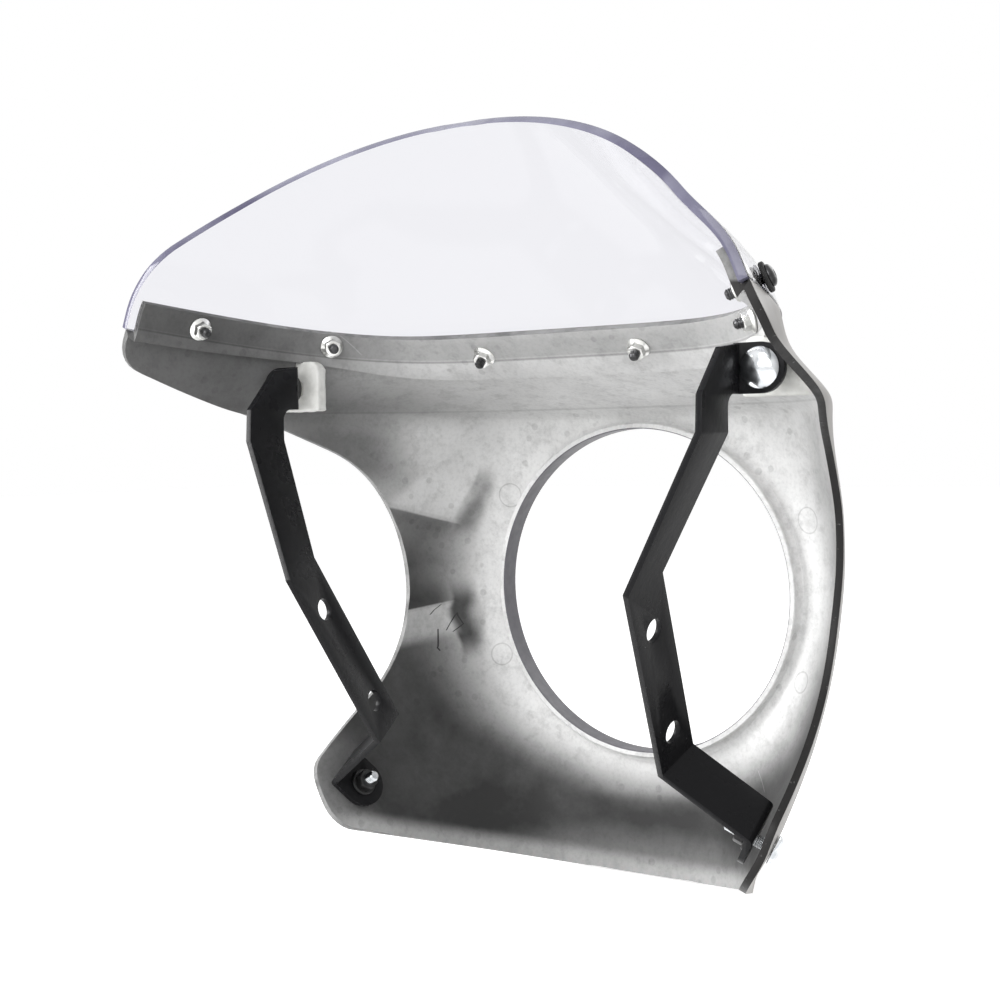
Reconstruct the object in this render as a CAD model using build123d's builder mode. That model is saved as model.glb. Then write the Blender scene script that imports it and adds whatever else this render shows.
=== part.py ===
"""Headlight cowl for a motorbike: a thin moulded shell with a clear screen, carried by two fork brackets.

Millimetres. X points to the rider's left, Y to the rear and Z up, and the origin is the centre of the lamp
opening, level with the rear edge of its lip.
"""

import os
from math import acos, atan2, cos, pi, radians, sin, sqrt, tan

from build123d import *

os.makedirs("parts", exist_ok=True)

# Lamp opening
lamp_bore = 178.0
lip_depth = 12.0
lip_wall = 3.2
lip_fillet = 4.0
lip_foot = 1.3
bezel_proud = 0.8
bezel_round = 1.5

# Walls
shell_wall = 3.5
screen_wall = 4.0
screen_gap = 0.3
flange_wall = 3.0
ledge_wall = 3.5

# Skin on the centre plane: flat nose, forehead sloping back, screen leaning back, chin tucked under
forehead_start = 101.0
forehead_slope = 14.2
forehead_round = 5.0
screen_start = 119.5
screen_slope = 48.2
screen_round = 6.0
chin_start = -110.0
chin_tuck = 0.15
chin_round = 12.0

# Skin stations: height, half width where the side is flank_depth behind the nose, and fullness of the corner
flank_depth = 134.0
stations = (
    (-172.0, 110.0, 3.7),
    (-130.0, 115.5, 3.8),
    (-100.0, 131.0, 4.2),
    (-60.0, 143.0, 5.8),
    (0.0, 145.5, 10.0),
    (40.0, 153.0, 7.6),
    (90.0, 159.5, 4.4),
    (124.0, 171.0, 4.3),
    (145.0, 168.0, 5.8),
    (160.0, 164.0, 5.1),
    (180.0, 151.0, 4.2),
    (205.0, 143.0, 3.1),
    (250.0, 143.0, 1.9),
)

# Side view of the shell: wing above, round fork notch, chin below
wing_rear = 212.5
wing_bend = (125.0, 97.0)
wing_edge = 17.0591
wing_corner = 18.0
wing_bend_round = 60.0
notch_centre = (115.5, 8.0)
notch_radius = 78.0
chin_rear = 121.0
chin_top = -89.5
chin_bottom = -120.0
chin_corner = 14.0
chin_rise = 17.0

# Step that the screen stands on, and the flange behind the screen
step_height = 117.0
step_rise = 6.84
flange_height = 15.5
flange_rear = 206.0

# Side view of the screen
screen_rear = 215.5
screen_corner = 175.5
screen_corner_round = 20.0
screen_rake = 45.0

# Screen screws: distance from the centre plane, and the fastener sizes
screw_across = (46.0, 128.0, 157.5)
screw_diameter = 5.0
screw_clearance = 0.5
screw_head = 9.5
screw_head_height = 2.8
screw_tip = 3.5
screw_washer = 13.0
screw_washer_thickness = 2.0
screw_nut_flange = 11.8
screw_nut_flats = 8.0
screw_nut_height = 5.0
screw_nut_flange_height = 1.2
seat_clearance = 0.2

# Fork brackets: a flat bar folded at the web, the knee, the foot and the end tab, hung from skin and step
bar_width = 25.0
bar_thickness = 3.0
bend_round = 1.5
web_inset = 12.7
tab_rear = 136.0
tab_height = 22.0
tab_inset = 20.5504
tab_drop = 4.1
web_top = (152.5, 4.6)
web_shoulder = (171.5, -15.5)
web_fold = (160.0, -31.0)
web_corner = 6.0
knee = (95.0, 168.5, 22.5)
knee_line = (-0.17, 0.92, -0.36)
heel = (82.7, 117.6, -64.3)
heel_line = (-0.17, 0.88, -0.44)
foot_slope = (35.8, -10.1, -25.2)
fork_hole = 11.0
fork_hole_first = 25.0
fork_hole_pitch = 58.0

# Straight rim under a domed head, as a share of the head's height
dome_rim = 0.2

# Upper mount: dome bolt, spacer and nut on a pad bonded into the corner of the shell
mount_bolt = 6.0
mount_clearance = 0.4
dome_head = 18.4
dome_height = 4.6
spacer_diameter = 17.0
spacer_length = 5.0
mount_nut_flats = 10.0
mount_nut_height = 5.0
pad_thickness = 7.0
pad_inset = 14.7
pad_drop = 16.0
pad_round = 6.0
pad_clearance = 1.0

# Lower mount: bolt through the side of the chin
chin_bolt_at = (100.0, -104.0)
chin_bolt_gap = 5.0
chin_head = 14.0
chin_head_height = 3.4
chin_washer = 14.0
chin_washer_thickness = 1.4
chin_bolt_tip = 6.0

# Room past the trimmed edges of the skin, and the steps of its level sections
margin = 20.0
across_steps = 8
side_steps = 12
even_sections = 24
fold_step = 4.0
offset_rounds = 40
probe = 0.1


def hinge(distance, rounding):
    """Ramp that leaves zero at no distance, with its corner rounded."""
    return (distance + sqrt(distance**2 + rounding**2)) / 2


def station_slope(index, column):
    """Slope of a station column at one station, taken across its neighbours."""
    low = stations[max(index - 1, 0)]
    high = stations[min(index + 1, len(stations) - 1)]
    return (high[column] - low[column]) / (high[0] - low[0])


def at_height(height, column):
    """Value of a station column at a height, on a smooth curve through the stations."""
    below = [i for i, station in enumerate(stations[:-1]) if station[0] <= height]
    index = below[-1] if below else 0
    low = stations[index]
    high = stations[index + 1]
    span = high[0] - low[0]
    t = (height - low[0]) / span
    low_slope = span * station_slope(index, column)
    high_slope = span * station_slope(index + 1, column)
    start = (2 * t**3 - 3 * t**2 + 1) * low[column] + (t**3 - 2 * t**2 + t) * low_slope
    end = (3 * t**2 - 2 * t**3) * high[column] + (t**3 - t**2) * high_slope
    return start + end


def centre_line(height):
    """Y of the skin on the centre plane."""
    forehead_run = 1 / tan(radians(forehead_slope))
    screen_run = 1 / tan(radians(screen_slope))
    forehead = forehead_run * hinge(height - forehead_start, forehead_round)
    upright = (forehead_run - screen_run) * hinge(height - screen_start, screen_round)
    chin = chin_tuck * hinge(chin_start - height, chin_round)
    return forehead - upright + chin - lip_depth


def skin_y(x, height):
    """Y of the outer skin at a distance from the centre plane."""
    return centre_line(height) + flank_depth * (abs(x) / at_height(height, 1)) ** at_height(height, 2)


def skin_x(y, height):
    """Distance of the outer skin from the centre plane at a depth."""
    return at_height(height, 1) * ((y - centre_line(height)) / flank_depth) ** (1 / at_height(height, 2))


def slopes(surface, place, height):
    """Slopes of a skin function along its first value and along the height."""
    along = (surface(place + probe, height) - surface(place - probe, height)) / (2 * probe)
    up = (surface(place, height + probe) - surface(place, height - probe)) / (2 * probe)
    return along, up


def inset_point(surface, place, height, inset):
    """Value of a skin function moved inwards by inset, square to the skin at the foot of the move."""
    inwards = 1 if surface is skin_y else -1
    foot_place = place
    foot_height = height
    for _ in range(offset_rounds):
        along, up = slopes(surface, foot_place, foot_height)
        stretch = sqrt(1 + along**2 + up**2)
        foot_place = (foot_place + place + inwards * inset * along / stretch) / 2
        foot_height = (foot_height + height + inwards * inset * up / stretch) / 2
    return surface(foot_place, foot_height) + inwards * inset / stretch


def section(height, inset):
    """Points of one level section: even steps across to the 45 degree corner, then even steps to the rear."""
    half_width = at_height(height, 1)
    fullness = at_height(height, 2)
    corner_x = half_width * (half_width / (fullness * flank_depth)) ** (1 / (fullness - 1)) - inset
    corner_y = inset_point(skin_y, corner_x, height, inset)
    rear_y = max(wing_rear, screen_rear) + margin + inset
    half = []
    for i in range(across_steps + 1):
        x = corner_x * i / across_steps
        half.append((x, inset_point(skin_y, x, height, inset)))
    for i in range(1, side_steps + 1):
        y = corner_y + (rear_y - corner_y) * i / side_steps
        half.append((inset_point(skin_x, y, height, inset), y))
    return [(-x, y) for x, y in reversed(half[1:])] + half


def section_heights():
    """Heights of the level sections: even steps, and closer ones where the skin folds."""
    bottom = stations[0][0]
    top = stations[-1][0]
    even = [bottom + (top - bottom) * i / even_sections for i in range(even_sections + 1)]
    folds = [forehead_start + step * fold_step for step in range(-2, 3)]
    folds += [screen_start + step * fold_step for step in range(-2, 10)]
    clear = [h for h in even if all(abs(h - fold) > 2 * fold_step for fold in folds)]
    return sorted(clear + folds)


def skin_core(inset):
    """Solid that fills the cowl up to the skin moved inwards by inset."""
    steps = 2 * (across_steps + side_steps)
    shares = [i / steps for i in range(steps + 1)]
    with BuildPart() as core:
        for height in section_heights():
            points = section(height, inset)
            with BuildSketch(Plane.XY.offset(height)):
                with BuildLine():
                    add(Edge.make_spline(points, parameters=shares))
                    Line(points[-1], points[0])
                make_face()
        loft()
    return core.part


def step_z(y):
    """Height of the step that the screen stands on."""
    return step_height + y * tan(radians(step_rise))


def tangent_point(outside, side):
    """Point where a line from outside touches the fork notch, on its upper (1) or lower (-1) side."""
    across = outside[0] - notch_centre[0]
    up = outside[1] - notch_centre[1]
    turn = atan2(up, across) + side * acos(notch_radius / sqrt(across**2 + up**2))
    return (notch_centre[0] + notch_radius * cos(turn), notch_centre[1] + notch_radius * sin(turn))


def skin_plane(x, height):
    """Plane that touches the outer skin, with its normal pointing out of the cowl."""
    slope_x, slope_z = slopes(skin_y, x, height)
    return Plane((x, skin_y(x, height), height), x_dir=(1, slope_x, 0), z_dir=(slope_x, -1, slope_z))


def reach(plane, point, inset):
    """Distance inwards from a point of a plane to the skin moved inwards by inset."""
    start = plane.from_local_coords(point)
    near = -margin
    far = margin
    for _ in range(40):
        middle = (near + far) / 2
        tip = start - plane.z_dir * middle
        if tip.Y < inset_point(skin_y, tip.X, tip.Z, inset):
            near = middle
        else:
            far = middle
    return near


def rim_reaches(plane, diameter, inset):
    """Distances inwards to the skin moved by inset, from the centre and round the rim of a disc on a plane."""
    turns = [pi * i / 6 for i in range(12)]
    rim = [(diameter / 2 * cos(turn), diameter / 2 * sin(turn), 0) for turn in turns]
    return [reach(plane, point, inset) for point in [(0, 0, 0)] + rim]


def outer_seat(plane, diameter):
    """Height above a plane at which a disc rests on the outside of the cowl."""
    return seat_clearance - min(rim_reaches(plane, diameter, 0.0))


def inner_seat(plane, diameter, inset):
    """Depth below a plane at which a disc rests on the inside of a wall."""
    return seat_clearance + max(rim_reaches(plane, diameter, inset))


def flange_plane(x):
    """Plane on the screen half way up the flange, at a distance from the centre plane."""
    y = 0.0
    for _ in range(40):
        height = step_z(y) + flange_height / 2
        y = skin_y(x, height)
    return skin_plane(x, height)


def dome_point(head, head_height):
    """Point half way across a domed head, on the arc from its top to its rim."""
    drop = head_height * (1 - dome_rim)
    radius = (drop**2 + (head / 2) ** 2) / (2 * drop)
    return (head / 4, head_height - radius + sqrt(radius**2 - (head / 4) ** 2))


def domed_bolt(head, head_height, diameter, length):
    """Bolt with its head's underside on the XY plane and its shank pointing down."""
    with BuildPart() as bolt:
        with BuildSketch(Plane.XZ):
            with BuildLine():
                rim = (head / 2, head_height * dome_rim)
                shank = ((0, -length), (diameter / 2, -length), (diameter / 2, 0))
                Polyline((0, head_height), *shank, (head / 2, 0), rim)
                ThreePointArc(rim, dome_point(head, head_height), (0, head_height))
            make_face()
        revolve(axis=Axis.Z)
    return bolt.part


def ring(outside, inside, thickness):
    """Washer or spacer standing on the XY plane."""
    with BuildPart() as disc:
        with BuildSketch():
            Circle(outside / 2)
            Circle(inside / 2, mode=Mode.SUBTRACT)
        extrude(amount=thickness)
    return disc.part


def hex_nut(flats, diameter, height, flange=0.0, flange_height=0.0):
    """Nut standing on the XY plane, on a round flange where it has one."""
    with BuildPart() as nut:
        with BuildSketch():
            RegularPolygon(flats / 2, 6, major_radius=False)
        extrude(amount=height)
        if flange:
            with BuildSketch():
                Circle(flange / 2)
            extrude(amount=flange_height)
        with BuildSketch():
            Circle(diameter / 2)
        extrude(amount=height, mode=Mode.SUBTRACT)
    return nut.part


def in_plane(line, normal):
    """Direction of a fold line, turned into the plane with that normal."""
    line = Vector(*line)
    return (line - normal * line.dot(normal)).normalized()


def fold_ends(centre, line):
    """Front and rear ends of a fold line across the bar."""
    return (centre - line * bar_width / 2, centre + line * bar_width / 2)


def plate(before, after, normal):
    """Flat stretch of the bar between two fold lines, thickened along its normal."""
    corners = [before[0], before[1], after[1], after[0]]
    base = Plane(corners[0], x_dir=corners[1] - corners[0], z_dir=normal)
    with BuildPart() as stretch:
        with BuildSketch(base):
            with BuildLine():
                Polyline(*[base.to_local_coords(corner) for corner in corners], close=True)
            make_face()
        extrude(amount=bar_thickness)
    return stretch.part


def bend(fold, before, after):
    """Round outside of a fold between the normals of two plates."""
    base = Plane(fold[0], x_dir=before, z_dir=fold[1] - fold[0])
    middle = (before + after).normalized()
    arc = [base.to_local_coords(fold[0] + normal * bar_thickness) for normal in (before, middle, after)]
    with BuildPart() as corner:
        with BuildSketch(base):
            with BuildLine():
                ThreePointArc(*arc)
                Polyline(arc[2], (0, 0), arc[0])
            make_face()
        extrude(amount=(fold[1] - fold[0]).length)
    return corner.part


def export_pair(piece, name):
    """Writes a left piece and its mirror image on the right."""
    with BuildPart() as left:
        add(piece)
    with BuildPart() as right:
        mirror(piece, about=Plane.YZ)
    for side, placed in (("left", left), ("right", right)):
        placed.part.label = f"{side}_{name}"
        export_step(placed.part, f"parts/{side}_{name}.step")


# Solids that fill the skin, from the outside inwards
outer_core = skin_core(0.0)
shell_core = skin_core(shell_wall)
screen_core = skin_core(screen_wall)
seat_core = skin_core(screen_wall + screen_gap)
flange_inset = screen_wall + screen_gap + flange_wall
flange_core = skin_core(flange_inset)

# Limits of the side views, past every edge of the skin
cut_width = max(station[1] for station in stations) + 2 * margin
front = -lip_depth - margin
rear = max(wing_rear, screen_rear) + 2 * margin
bottom = stations[0][0] - margin
top = stations[-1][0] + margin

# Screw and bolt places
screw_planes = [flange_plane(x) for x in screw_across]
all_screw_planes = screw_planes + [flange_plane(-x) for x in screw_across]
screw_hole = screw_diameter + screw_clearance
mount_hole = mount_bolt + mount_clearance
chin_y, chin_z = chin_bolt_at
chin_plane = skin_plane(skin_x(chin_y, chin_z), chin_z)
right_chin_plane = skin_plane(-skin_x(chin_y, chin_z), chin_z)

# Hollow of the shell, up to the ledge under the screen
with BuildPart() as hollow:
    add(shell_core)
    with BuildSketch(Plane.YZ):
        with BuildLine():
            Polyline(
                (front, bottom),
                (rear, bottom),
                (rear, step_z(rear) - ledge_wall),
                (front, step_z(front) - ledge_wall),
                close=True,
            )
        make_face()
    extrude(amount=cut_width, both=True, mode=Mode.INTERSECT)

# Recess above the step, which sets the flange back by the screen's thickness
with BuildPart() as recess:
    with BuildSketch(Plane.YZ):
        with BuildLine():
            Polyline((front, step_z(front)), (rear, step_z(rear)), (rear, top), (front, top), close=True)
        make_face()
    extrude(amount=cut_width, both=True)
    add(seat_core, mode=Mode.SUBTRACT)

with BuildPart() as cowl_shell:
    add(outer_core)
    with BuildSketch(Plane.YZ):
        wing_low = (wing_rear, step_z(wing_rear) - wing_edge)
        chin_high = (chin_rear, chin_top)
        chin_front = (front, chin_bottom - (chin_rear - front) * tan(radians(chin_rise)))
        wing_touch = tangent_point(wing_bend, 1)
        chin_touch = tangent_point(chin_high, -1)
        with BuildLine():
            FilletPolyline(
                (wing_rear, step_z(wing_rear)),
                wing_low,
                wing_bend,
                wing_touch,
                radius=(wing_corner, wing_bend_round),
            )
            ThreePointArc(wing_touch, (notch_centre[0] - notch_radius, notch_centre[1]), chin_touch)
            FilletPolyline(chin_touch, chin_high, (chin_rear, chin_bottom), chin_front, radius=chin_corner)
            Polyline(
                chin_front,
                (front, step_z(front) + flange_height),
                (flange_rear, step_z(flange_rear) + flange_height),
                (flange_rear, step_z(flange_rear)),
                (wing_rear, step_z(wing_rear)),
            )
        make_face()
    extrude(amount=cut_width, both=True, mode=Mode.INTERSECT)
    add(flange_core, mode=Mode.SUBTRACT)
    add(hollow.part, mode=Mode.SUBTRACT)
    add(recess.part, mode=Mode.SUBTRACT)
    # Lamp opening with a proud bezel and a lip turned to the rear
    with BuildSketch(Plane.XZ):
        Circle(lamp_bore / 2 + lip_wall / 2)
    extrude(amount=lip_depth + margin, both=True, mode=Mode.SUBTRACT)
    with BuildSketch() as lip_profile:
        bore = lamp_bore / 2
        lip_outer = bore + lip_wall
        lip_base = shell_wall + lip_foot - lip_depth
        bezel_front = -lip_depth - bezel_proud
        with BuildLine():
            Polyline(
                (lip_outer, lip_base + lip_fillet),
                (lip_outer, 0),
                (bore, 0),
                (bore, bezel_front),
                (lip_outer + lip_fillet, bezel_front),
                (lip_outer + lip_fillet, lip_base),
            )
            CenterArc((lip_outer + lip_fillet, lip_base + lip_fillet), lip_fillet, 180, 90)
        make_face()
        fillet(lip_profile.vertices().sort_by_distance((bore, bezel_front))[0], bezel_round)
    revolve(axis=Axis.Y)
    # Screw holes through the flange and bolt holes through the chin
    with Locations(*[Location(plane) for plane in all_screw_planes]):
        Cylinder(screw_hole / 2, 2 * margin, mode=Mode.SUBTRACT)
    with Locations(Location(chin_plane), Location(right_chin_plane)):
        Cylinder(mount_hole / 2, margin, mode=Mode.SUBTRACT)
cowl_shell.part.label = "cowl_shell"
export_step(cowl_shell.part, "parts/cowl_shell.step")

with BuildPart() as windscreen:
    add(outer_core)
    with BuildSketch(Plane.YZ):
        screen_foot = (screen_rear, step_z(screen_rear) + screen_gap)
        screen_peak = (screen_rear - (top - screen_corner) / tan(radians(screen_rake)), top)
        with BuildLine():
            FilletPolyline(screen_foot, (screen_rear, screen_corner), screen_peak, radius=screen_corner_round)
            Polyline(screen_peak, (front, top), (front, step_z(front) + screen_gap), screen_foot)
        make_face()
    extrude(amount=cut_width, both=True, mode=Mode.INTERSECT)
    add(screen_core, mode=Mode.SUBTRACT)
    with Locations(*[Location(plane) for plane in all_screw_planes]):
        Cylinder(screw_hole / 2, 2 * margin, mode=Mode.SUBTRACT)
windscreen.part.label = "windscreen"
export_step(windscreen.part, "parts/windscreen.step")

# Screen screws with their washers and nuts, left half
washer = ring(screw_washer, screw_hole, screw_washer_thickness)
nut = hex_nut(screw_nut_flats, screw_diameter, screw_nut_height, screw_nut_flange, screw_nut_flange_height)
washer_planes = [plane.offset(outer_seat(plane, screw_washer)) for plane in screw_planes]
head_planes = [plane.offset(screw_washer_thickness) for plane in washer_planes]
nut_planes = [
    Plane(
        plane.origin - plane.z_dir * inner_seat(plane, screw_nut_flange, flange_inset),
        x_dir=plane.x_dir,
        z_dir=-plane.z_dir,
    )
    for plane in screw_planes
]
grips = [(head.origin - seat.origin).length for head, seat in zip(head_planes, nut_planes)]
screws = [
    domed_bolt(screw_head, screw_head_height, screw_diameter, grip + screw_nut_height + screw_tip)
    for grip in grips
]
with BuildPart() as screen_screws:
    for plane, screw in zip(head_planes, screws):
        with Locations(Location(plane)):
            add(screw)
export_pair(screen_screws.part, "screen_screws")

with BuildPart() as screen_washers:
    with Locations(*[Location(plane) for plane in washer_planes]):
        add(washer)
export_pair(screen_washers.part, "screen_washers")

with BuildPart() as screen_nuts:
    with Locations(*[Location(plane) for plane in nut_planes]):
        add(nut)
export_pair(screen_nuts.part, "screen_nuts")

# Centre of the bracket's tab
tab_z = step_height - tab_drop
tab_x = skin_x(tab_rear, tab_z) - tab_inset
tab_centre = (tab_x, tab_z)
web_x = tab_x - web_inset

# Fold lines of the left bracket, each with its front and rear end, and the normals of the plates between them
web_normal = Vector(1, 0, 0)
web_line = Vector(0, 1, 0)
web_centre = Vector(web_x, web_fold[0], step_height + web_fold[1])
web_ends = fold_ends(web_centre, web_line)
knee_centre = Vector(*knee)
strap_normal = (knee_centre - web_centre).cross(web_line).normalized()
knee_ends = fold_ends(knee_centre, in_plane(knee_line, strap_normal))
heel_centre = Vector(*heel)
leg = heel_centre - knee_centre
leg_normal = leg.cross(knee_ends[1] - knee_ends[0]).normalized()
heel_ends = fold_ends(heel_centre, in_plane(heel_line, leg_normal))
foot_normal = Vector(*foot_slope).cross(heel_ends[1] - heel_ends[0]).normalized()

# End tab, held off the inside of the chin
end_normal = chin_plane.z_dir
end_depth = shell_wall + chin_bolt_gap + bar_thickness
end_centre = chin_plane.origin - end_normal * end_depth
end_line = foot_normal.cross(end_normal).normalized()
end_down = end_line.cross(end_normal)
end_rise = (heel_centre - end_centre).dot(foot_normal) / end_down.dot(foot_normal)
foot_ends = fold_ends(end_centre + end_down * end_rise, end_line)
end_ends = fold_ends(end_centre, end_line)

plates = (
    plate(web_ends, knee_ends, strap_normal),
    bend(web_ends, web_normal, strap_normal),
    plate(knee_ends, heel_ends, leg_normal),
    plate(heel_ends, foot_ends, foot_normal),
    bend(foot_ends, foot_normal, end_normal),
    plate(foot_ends, end_ends, end_normal),
)
tab_front = tab_rear - bar_thickness
tab_low = tab_centre[1] - tab_height / 2
tab_high = tab_centre[1] + tab_height / 2
tab_plane = Plane.XZ.offset(-tab_rear)
end_plane = Plane(end_centre, x_dir=end_line, z_dir=end_normal)
fork_holes = [
    Plane(knee_centre + leg.normalized() * along, x_dir=leg, z_dir=leg_normal)
    for along in (fork_hole_first, fork_hole_first + fork_hole_pitch)
]
with BuildPart() as bracket:
    with BuildSketch(Plane.YZ.offset(web_x)) as web:
        inner_corner = (web_ends[0].Y, tab_low)
        with BuildLine():
            Polyline(
                (tab_front, tab_low),
                (tab_front, tab_high),
                (web_top[0], step_height + web_top[1]),
                (web_shoulder[0], step_height + web_shoulder[1]),
                (web_ends[1].Y, web_ends[1].Z),
                (web_ends[0].Y, web_ends[0].Z),
                inner_corner,
                close=True,
            )
        make_face()
        fillet(web.vertices().sort_by_distance(inner_corner)[0], web_corner)
    extrude(amount=bar_thickness)
    with BuildSketch(tab_plane):
        with Locations(tab_centre):
            Circle(tab_height / 2)
            Rectangle(tab_centre[0] - web_x, tab_height, align=(Align.MAX, Align.CENTER))
    extrude(amount=bar_thickness)
    for stretch in plates:
        add(stretch)
    with BuildSketch(end_plane):
        Circle(bar_width / 2)
    extrude(amount=bar_thickness)
    # Rounded outside of the tab's bend
    bends = bracket.edges().filter_by(Axis.Z).sort_by_distance((web_x, tab_front, tab_centre[1]))
    fillet(bends[0], bar_thickness + bend_round)
    # Holes for the fork bolts and for both mounts
    with Locations(*[Location(plane) for plane in fork_holes]):
        Cylinder(fork_hole / 2, 4 * bar_thickness, mode=Mode.SUBTRACT)
    with Locations(Location(end_plane)):
        Cylinder(mount_hole / 2, 4 * bar_thickness, mode=Mode.SUBTRACT)
    with BuildSketch(tab_plane):
        with Locations(tab_centre):
            Circle(mount_hole / 2)
    extrude(amount=bar_thickness, mode=Mode.SUBTRACT)
export_pair(bracket.part, "bracket")

# Upper mount
pad_rear = tab_front - spacer_length - mount_nut_height
with BuildPart() as mount_pad:
    with BuildSketch(Plane.XZ.offset(-pad_rear)) as pad_face:
        pad_top = step_z(pad_rear - pad_thickness) - ledge_wall - seat_clearance
        pad_inner = tab_x - pad_inset
        pad_bottom = step_height - pad_drop
        with Locations((pad_inner, pad_bottom)):
            Rectangle(cut_width - pad_inner, pad_top - pad_bottom, align=(Align.MIN, Align.MIN))
        fillet(pad_face.vertices().sort_by_distance((pad_inner, pad_top))[0], pad_round)
        with Locations(tab_centre):
            Circle(mount_hole / 2, mode=Mode.SUBTRACT)
    extrude(amount=pad_thickness)
    add(shell_core, mode=Mode.INTERSECT)
export_pair(mount_pad.part, "mount_pad")

spacer_plane = Plane((tab_x, tab_front, tab_z), x_dir=(1, 0, 0), z_dir=(0, -1, 0))
mount_nut_plane = spacer_plane.offset(spacer_length)
dome_bolt = domed_bolt(dome_head, dome_height, mount_bolt, tab_rear - pad_rear + pad_thickness - pad_clearance)
with BuildPart() as upper_bolt:
    with Locations(Location(Plane((tab_x, tab_rear, tab_z), z_dir=(0, 1, 0)))):
        add(dome_bolt)
export_pair(upper_bolt.part, "upper_bolt")

spacer = ring(spacer_diameter, mount_hole, spacer_length)
with BuildPart() as upper_spacer:
    with Locations(Location(spacer_plane)):
        add(spacer)
export_pair(upper_spacer.part, "upper_spacer")

mount_nut = hex_nut(mount_nut_flats, mount_bolt, mount_nut_height)
with BuildPart() as upper_nut:
    with Locations(Location(mount_nut_plane)):
        add(mount_nut)
export_pair(upper_nut.part, "upper_nut")

# Lower mount
chin_head_plane = chin_plane.offset(outer_seat(chin_plane, chin_head))
chin_washer_plane = Plane(end_centre, x_dir=end_line, z_dir=-end_normal)
chin_nut_plane = chin_washer_plane.offset(chin_washer_thickness)
chin_grip = (chin_head_plane.origin - chin_nut_plane.origin).length
chin_bolt = domed_bolt(chin_head, chin_head_height, mount_bolt, chin_grip + mount_nut_height + chin_bolt_tip)
with BuildPart() as lower_bolt:
    with Locations(Location(chin_head_plane)):
        add(chin_bolt)
export_pair(lower_bolt.part, "lower_bolt")

chin_ring = ring(chin_washer, mount_hole, chin_washer_thickness)
with BuildPart() as lower_washer:
    with Locations(Location(chin_washer_plane)):
        add(chin_ring)
export_pair(lower_washer.part, "lower_washer")

with BuildPart() as lower_nut:
    with Locations(Location(chin_nut_plane)):
        add(mount_nut)
export_pair(lower_nut.part, "lower_nut")
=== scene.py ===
"""Looks, light and camera of a motorbike headlight cowl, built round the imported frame."""

from __future__ import annotations

import logging
import math
from dataclasses import dataclass
from enum import Enum, IntEnum
from typing import Any, Callable, Sequence

import bpy
import numpy as np
from mathutils import Matrix, Vector, noise

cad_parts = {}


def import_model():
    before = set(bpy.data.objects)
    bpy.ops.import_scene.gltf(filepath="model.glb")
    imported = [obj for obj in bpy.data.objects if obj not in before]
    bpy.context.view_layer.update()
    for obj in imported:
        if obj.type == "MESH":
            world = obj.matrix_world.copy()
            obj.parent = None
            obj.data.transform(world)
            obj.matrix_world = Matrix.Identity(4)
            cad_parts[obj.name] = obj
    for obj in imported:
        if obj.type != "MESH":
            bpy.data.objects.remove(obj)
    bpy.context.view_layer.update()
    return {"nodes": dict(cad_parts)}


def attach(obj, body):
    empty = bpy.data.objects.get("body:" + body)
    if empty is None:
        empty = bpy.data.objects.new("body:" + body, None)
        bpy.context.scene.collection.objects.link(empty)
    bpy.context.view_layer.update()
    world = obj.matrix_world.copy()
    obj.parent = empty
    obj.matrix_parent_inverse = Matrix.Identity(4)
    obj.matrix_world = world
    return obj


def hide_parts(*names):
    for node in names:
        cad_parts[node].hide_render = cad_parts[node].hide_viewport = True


LOG = logging.getLogger("headlight_cowl")
MM = 0.001
BODY = "root"
# Rounds in which a search by repeated steps settles on its answer.
SETTLING_ROUNDS = 60
Piece = bpy.types.Object
Material = bpy.types.Material
Colour = tuple[float, float, float]
Pair = tuple[float, float]
Triple = tuple[float, float, float]


class Side(Enum):
    """The two halves of the cowl, by the sign of X."""

    LEFT = 1
    RIGHT = -1

    def named(self, node: str) -> str:
        """Returns the node's name on this side."""
        return f"{self.name.lower()}_{node}"


class ShellFace(IntEnum):
    """Numbers of the shell's materials."""

    OUTSIDE = 0
    INSIDE = 1
    RIM = 2
    BORE = 3


class ScreenFace(IntEnum):
    """Numbers of the screen's materials."""

    CLEAR = 0
    EDGE = 1
    BEVEL = 2


class Stand(Enum):
    """How a fastener stands in the span of its CAD node."""

    HANGING = "from its head"
    UPRIGHT = "on the low end"
    TURNED = "on the high end"


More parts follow.
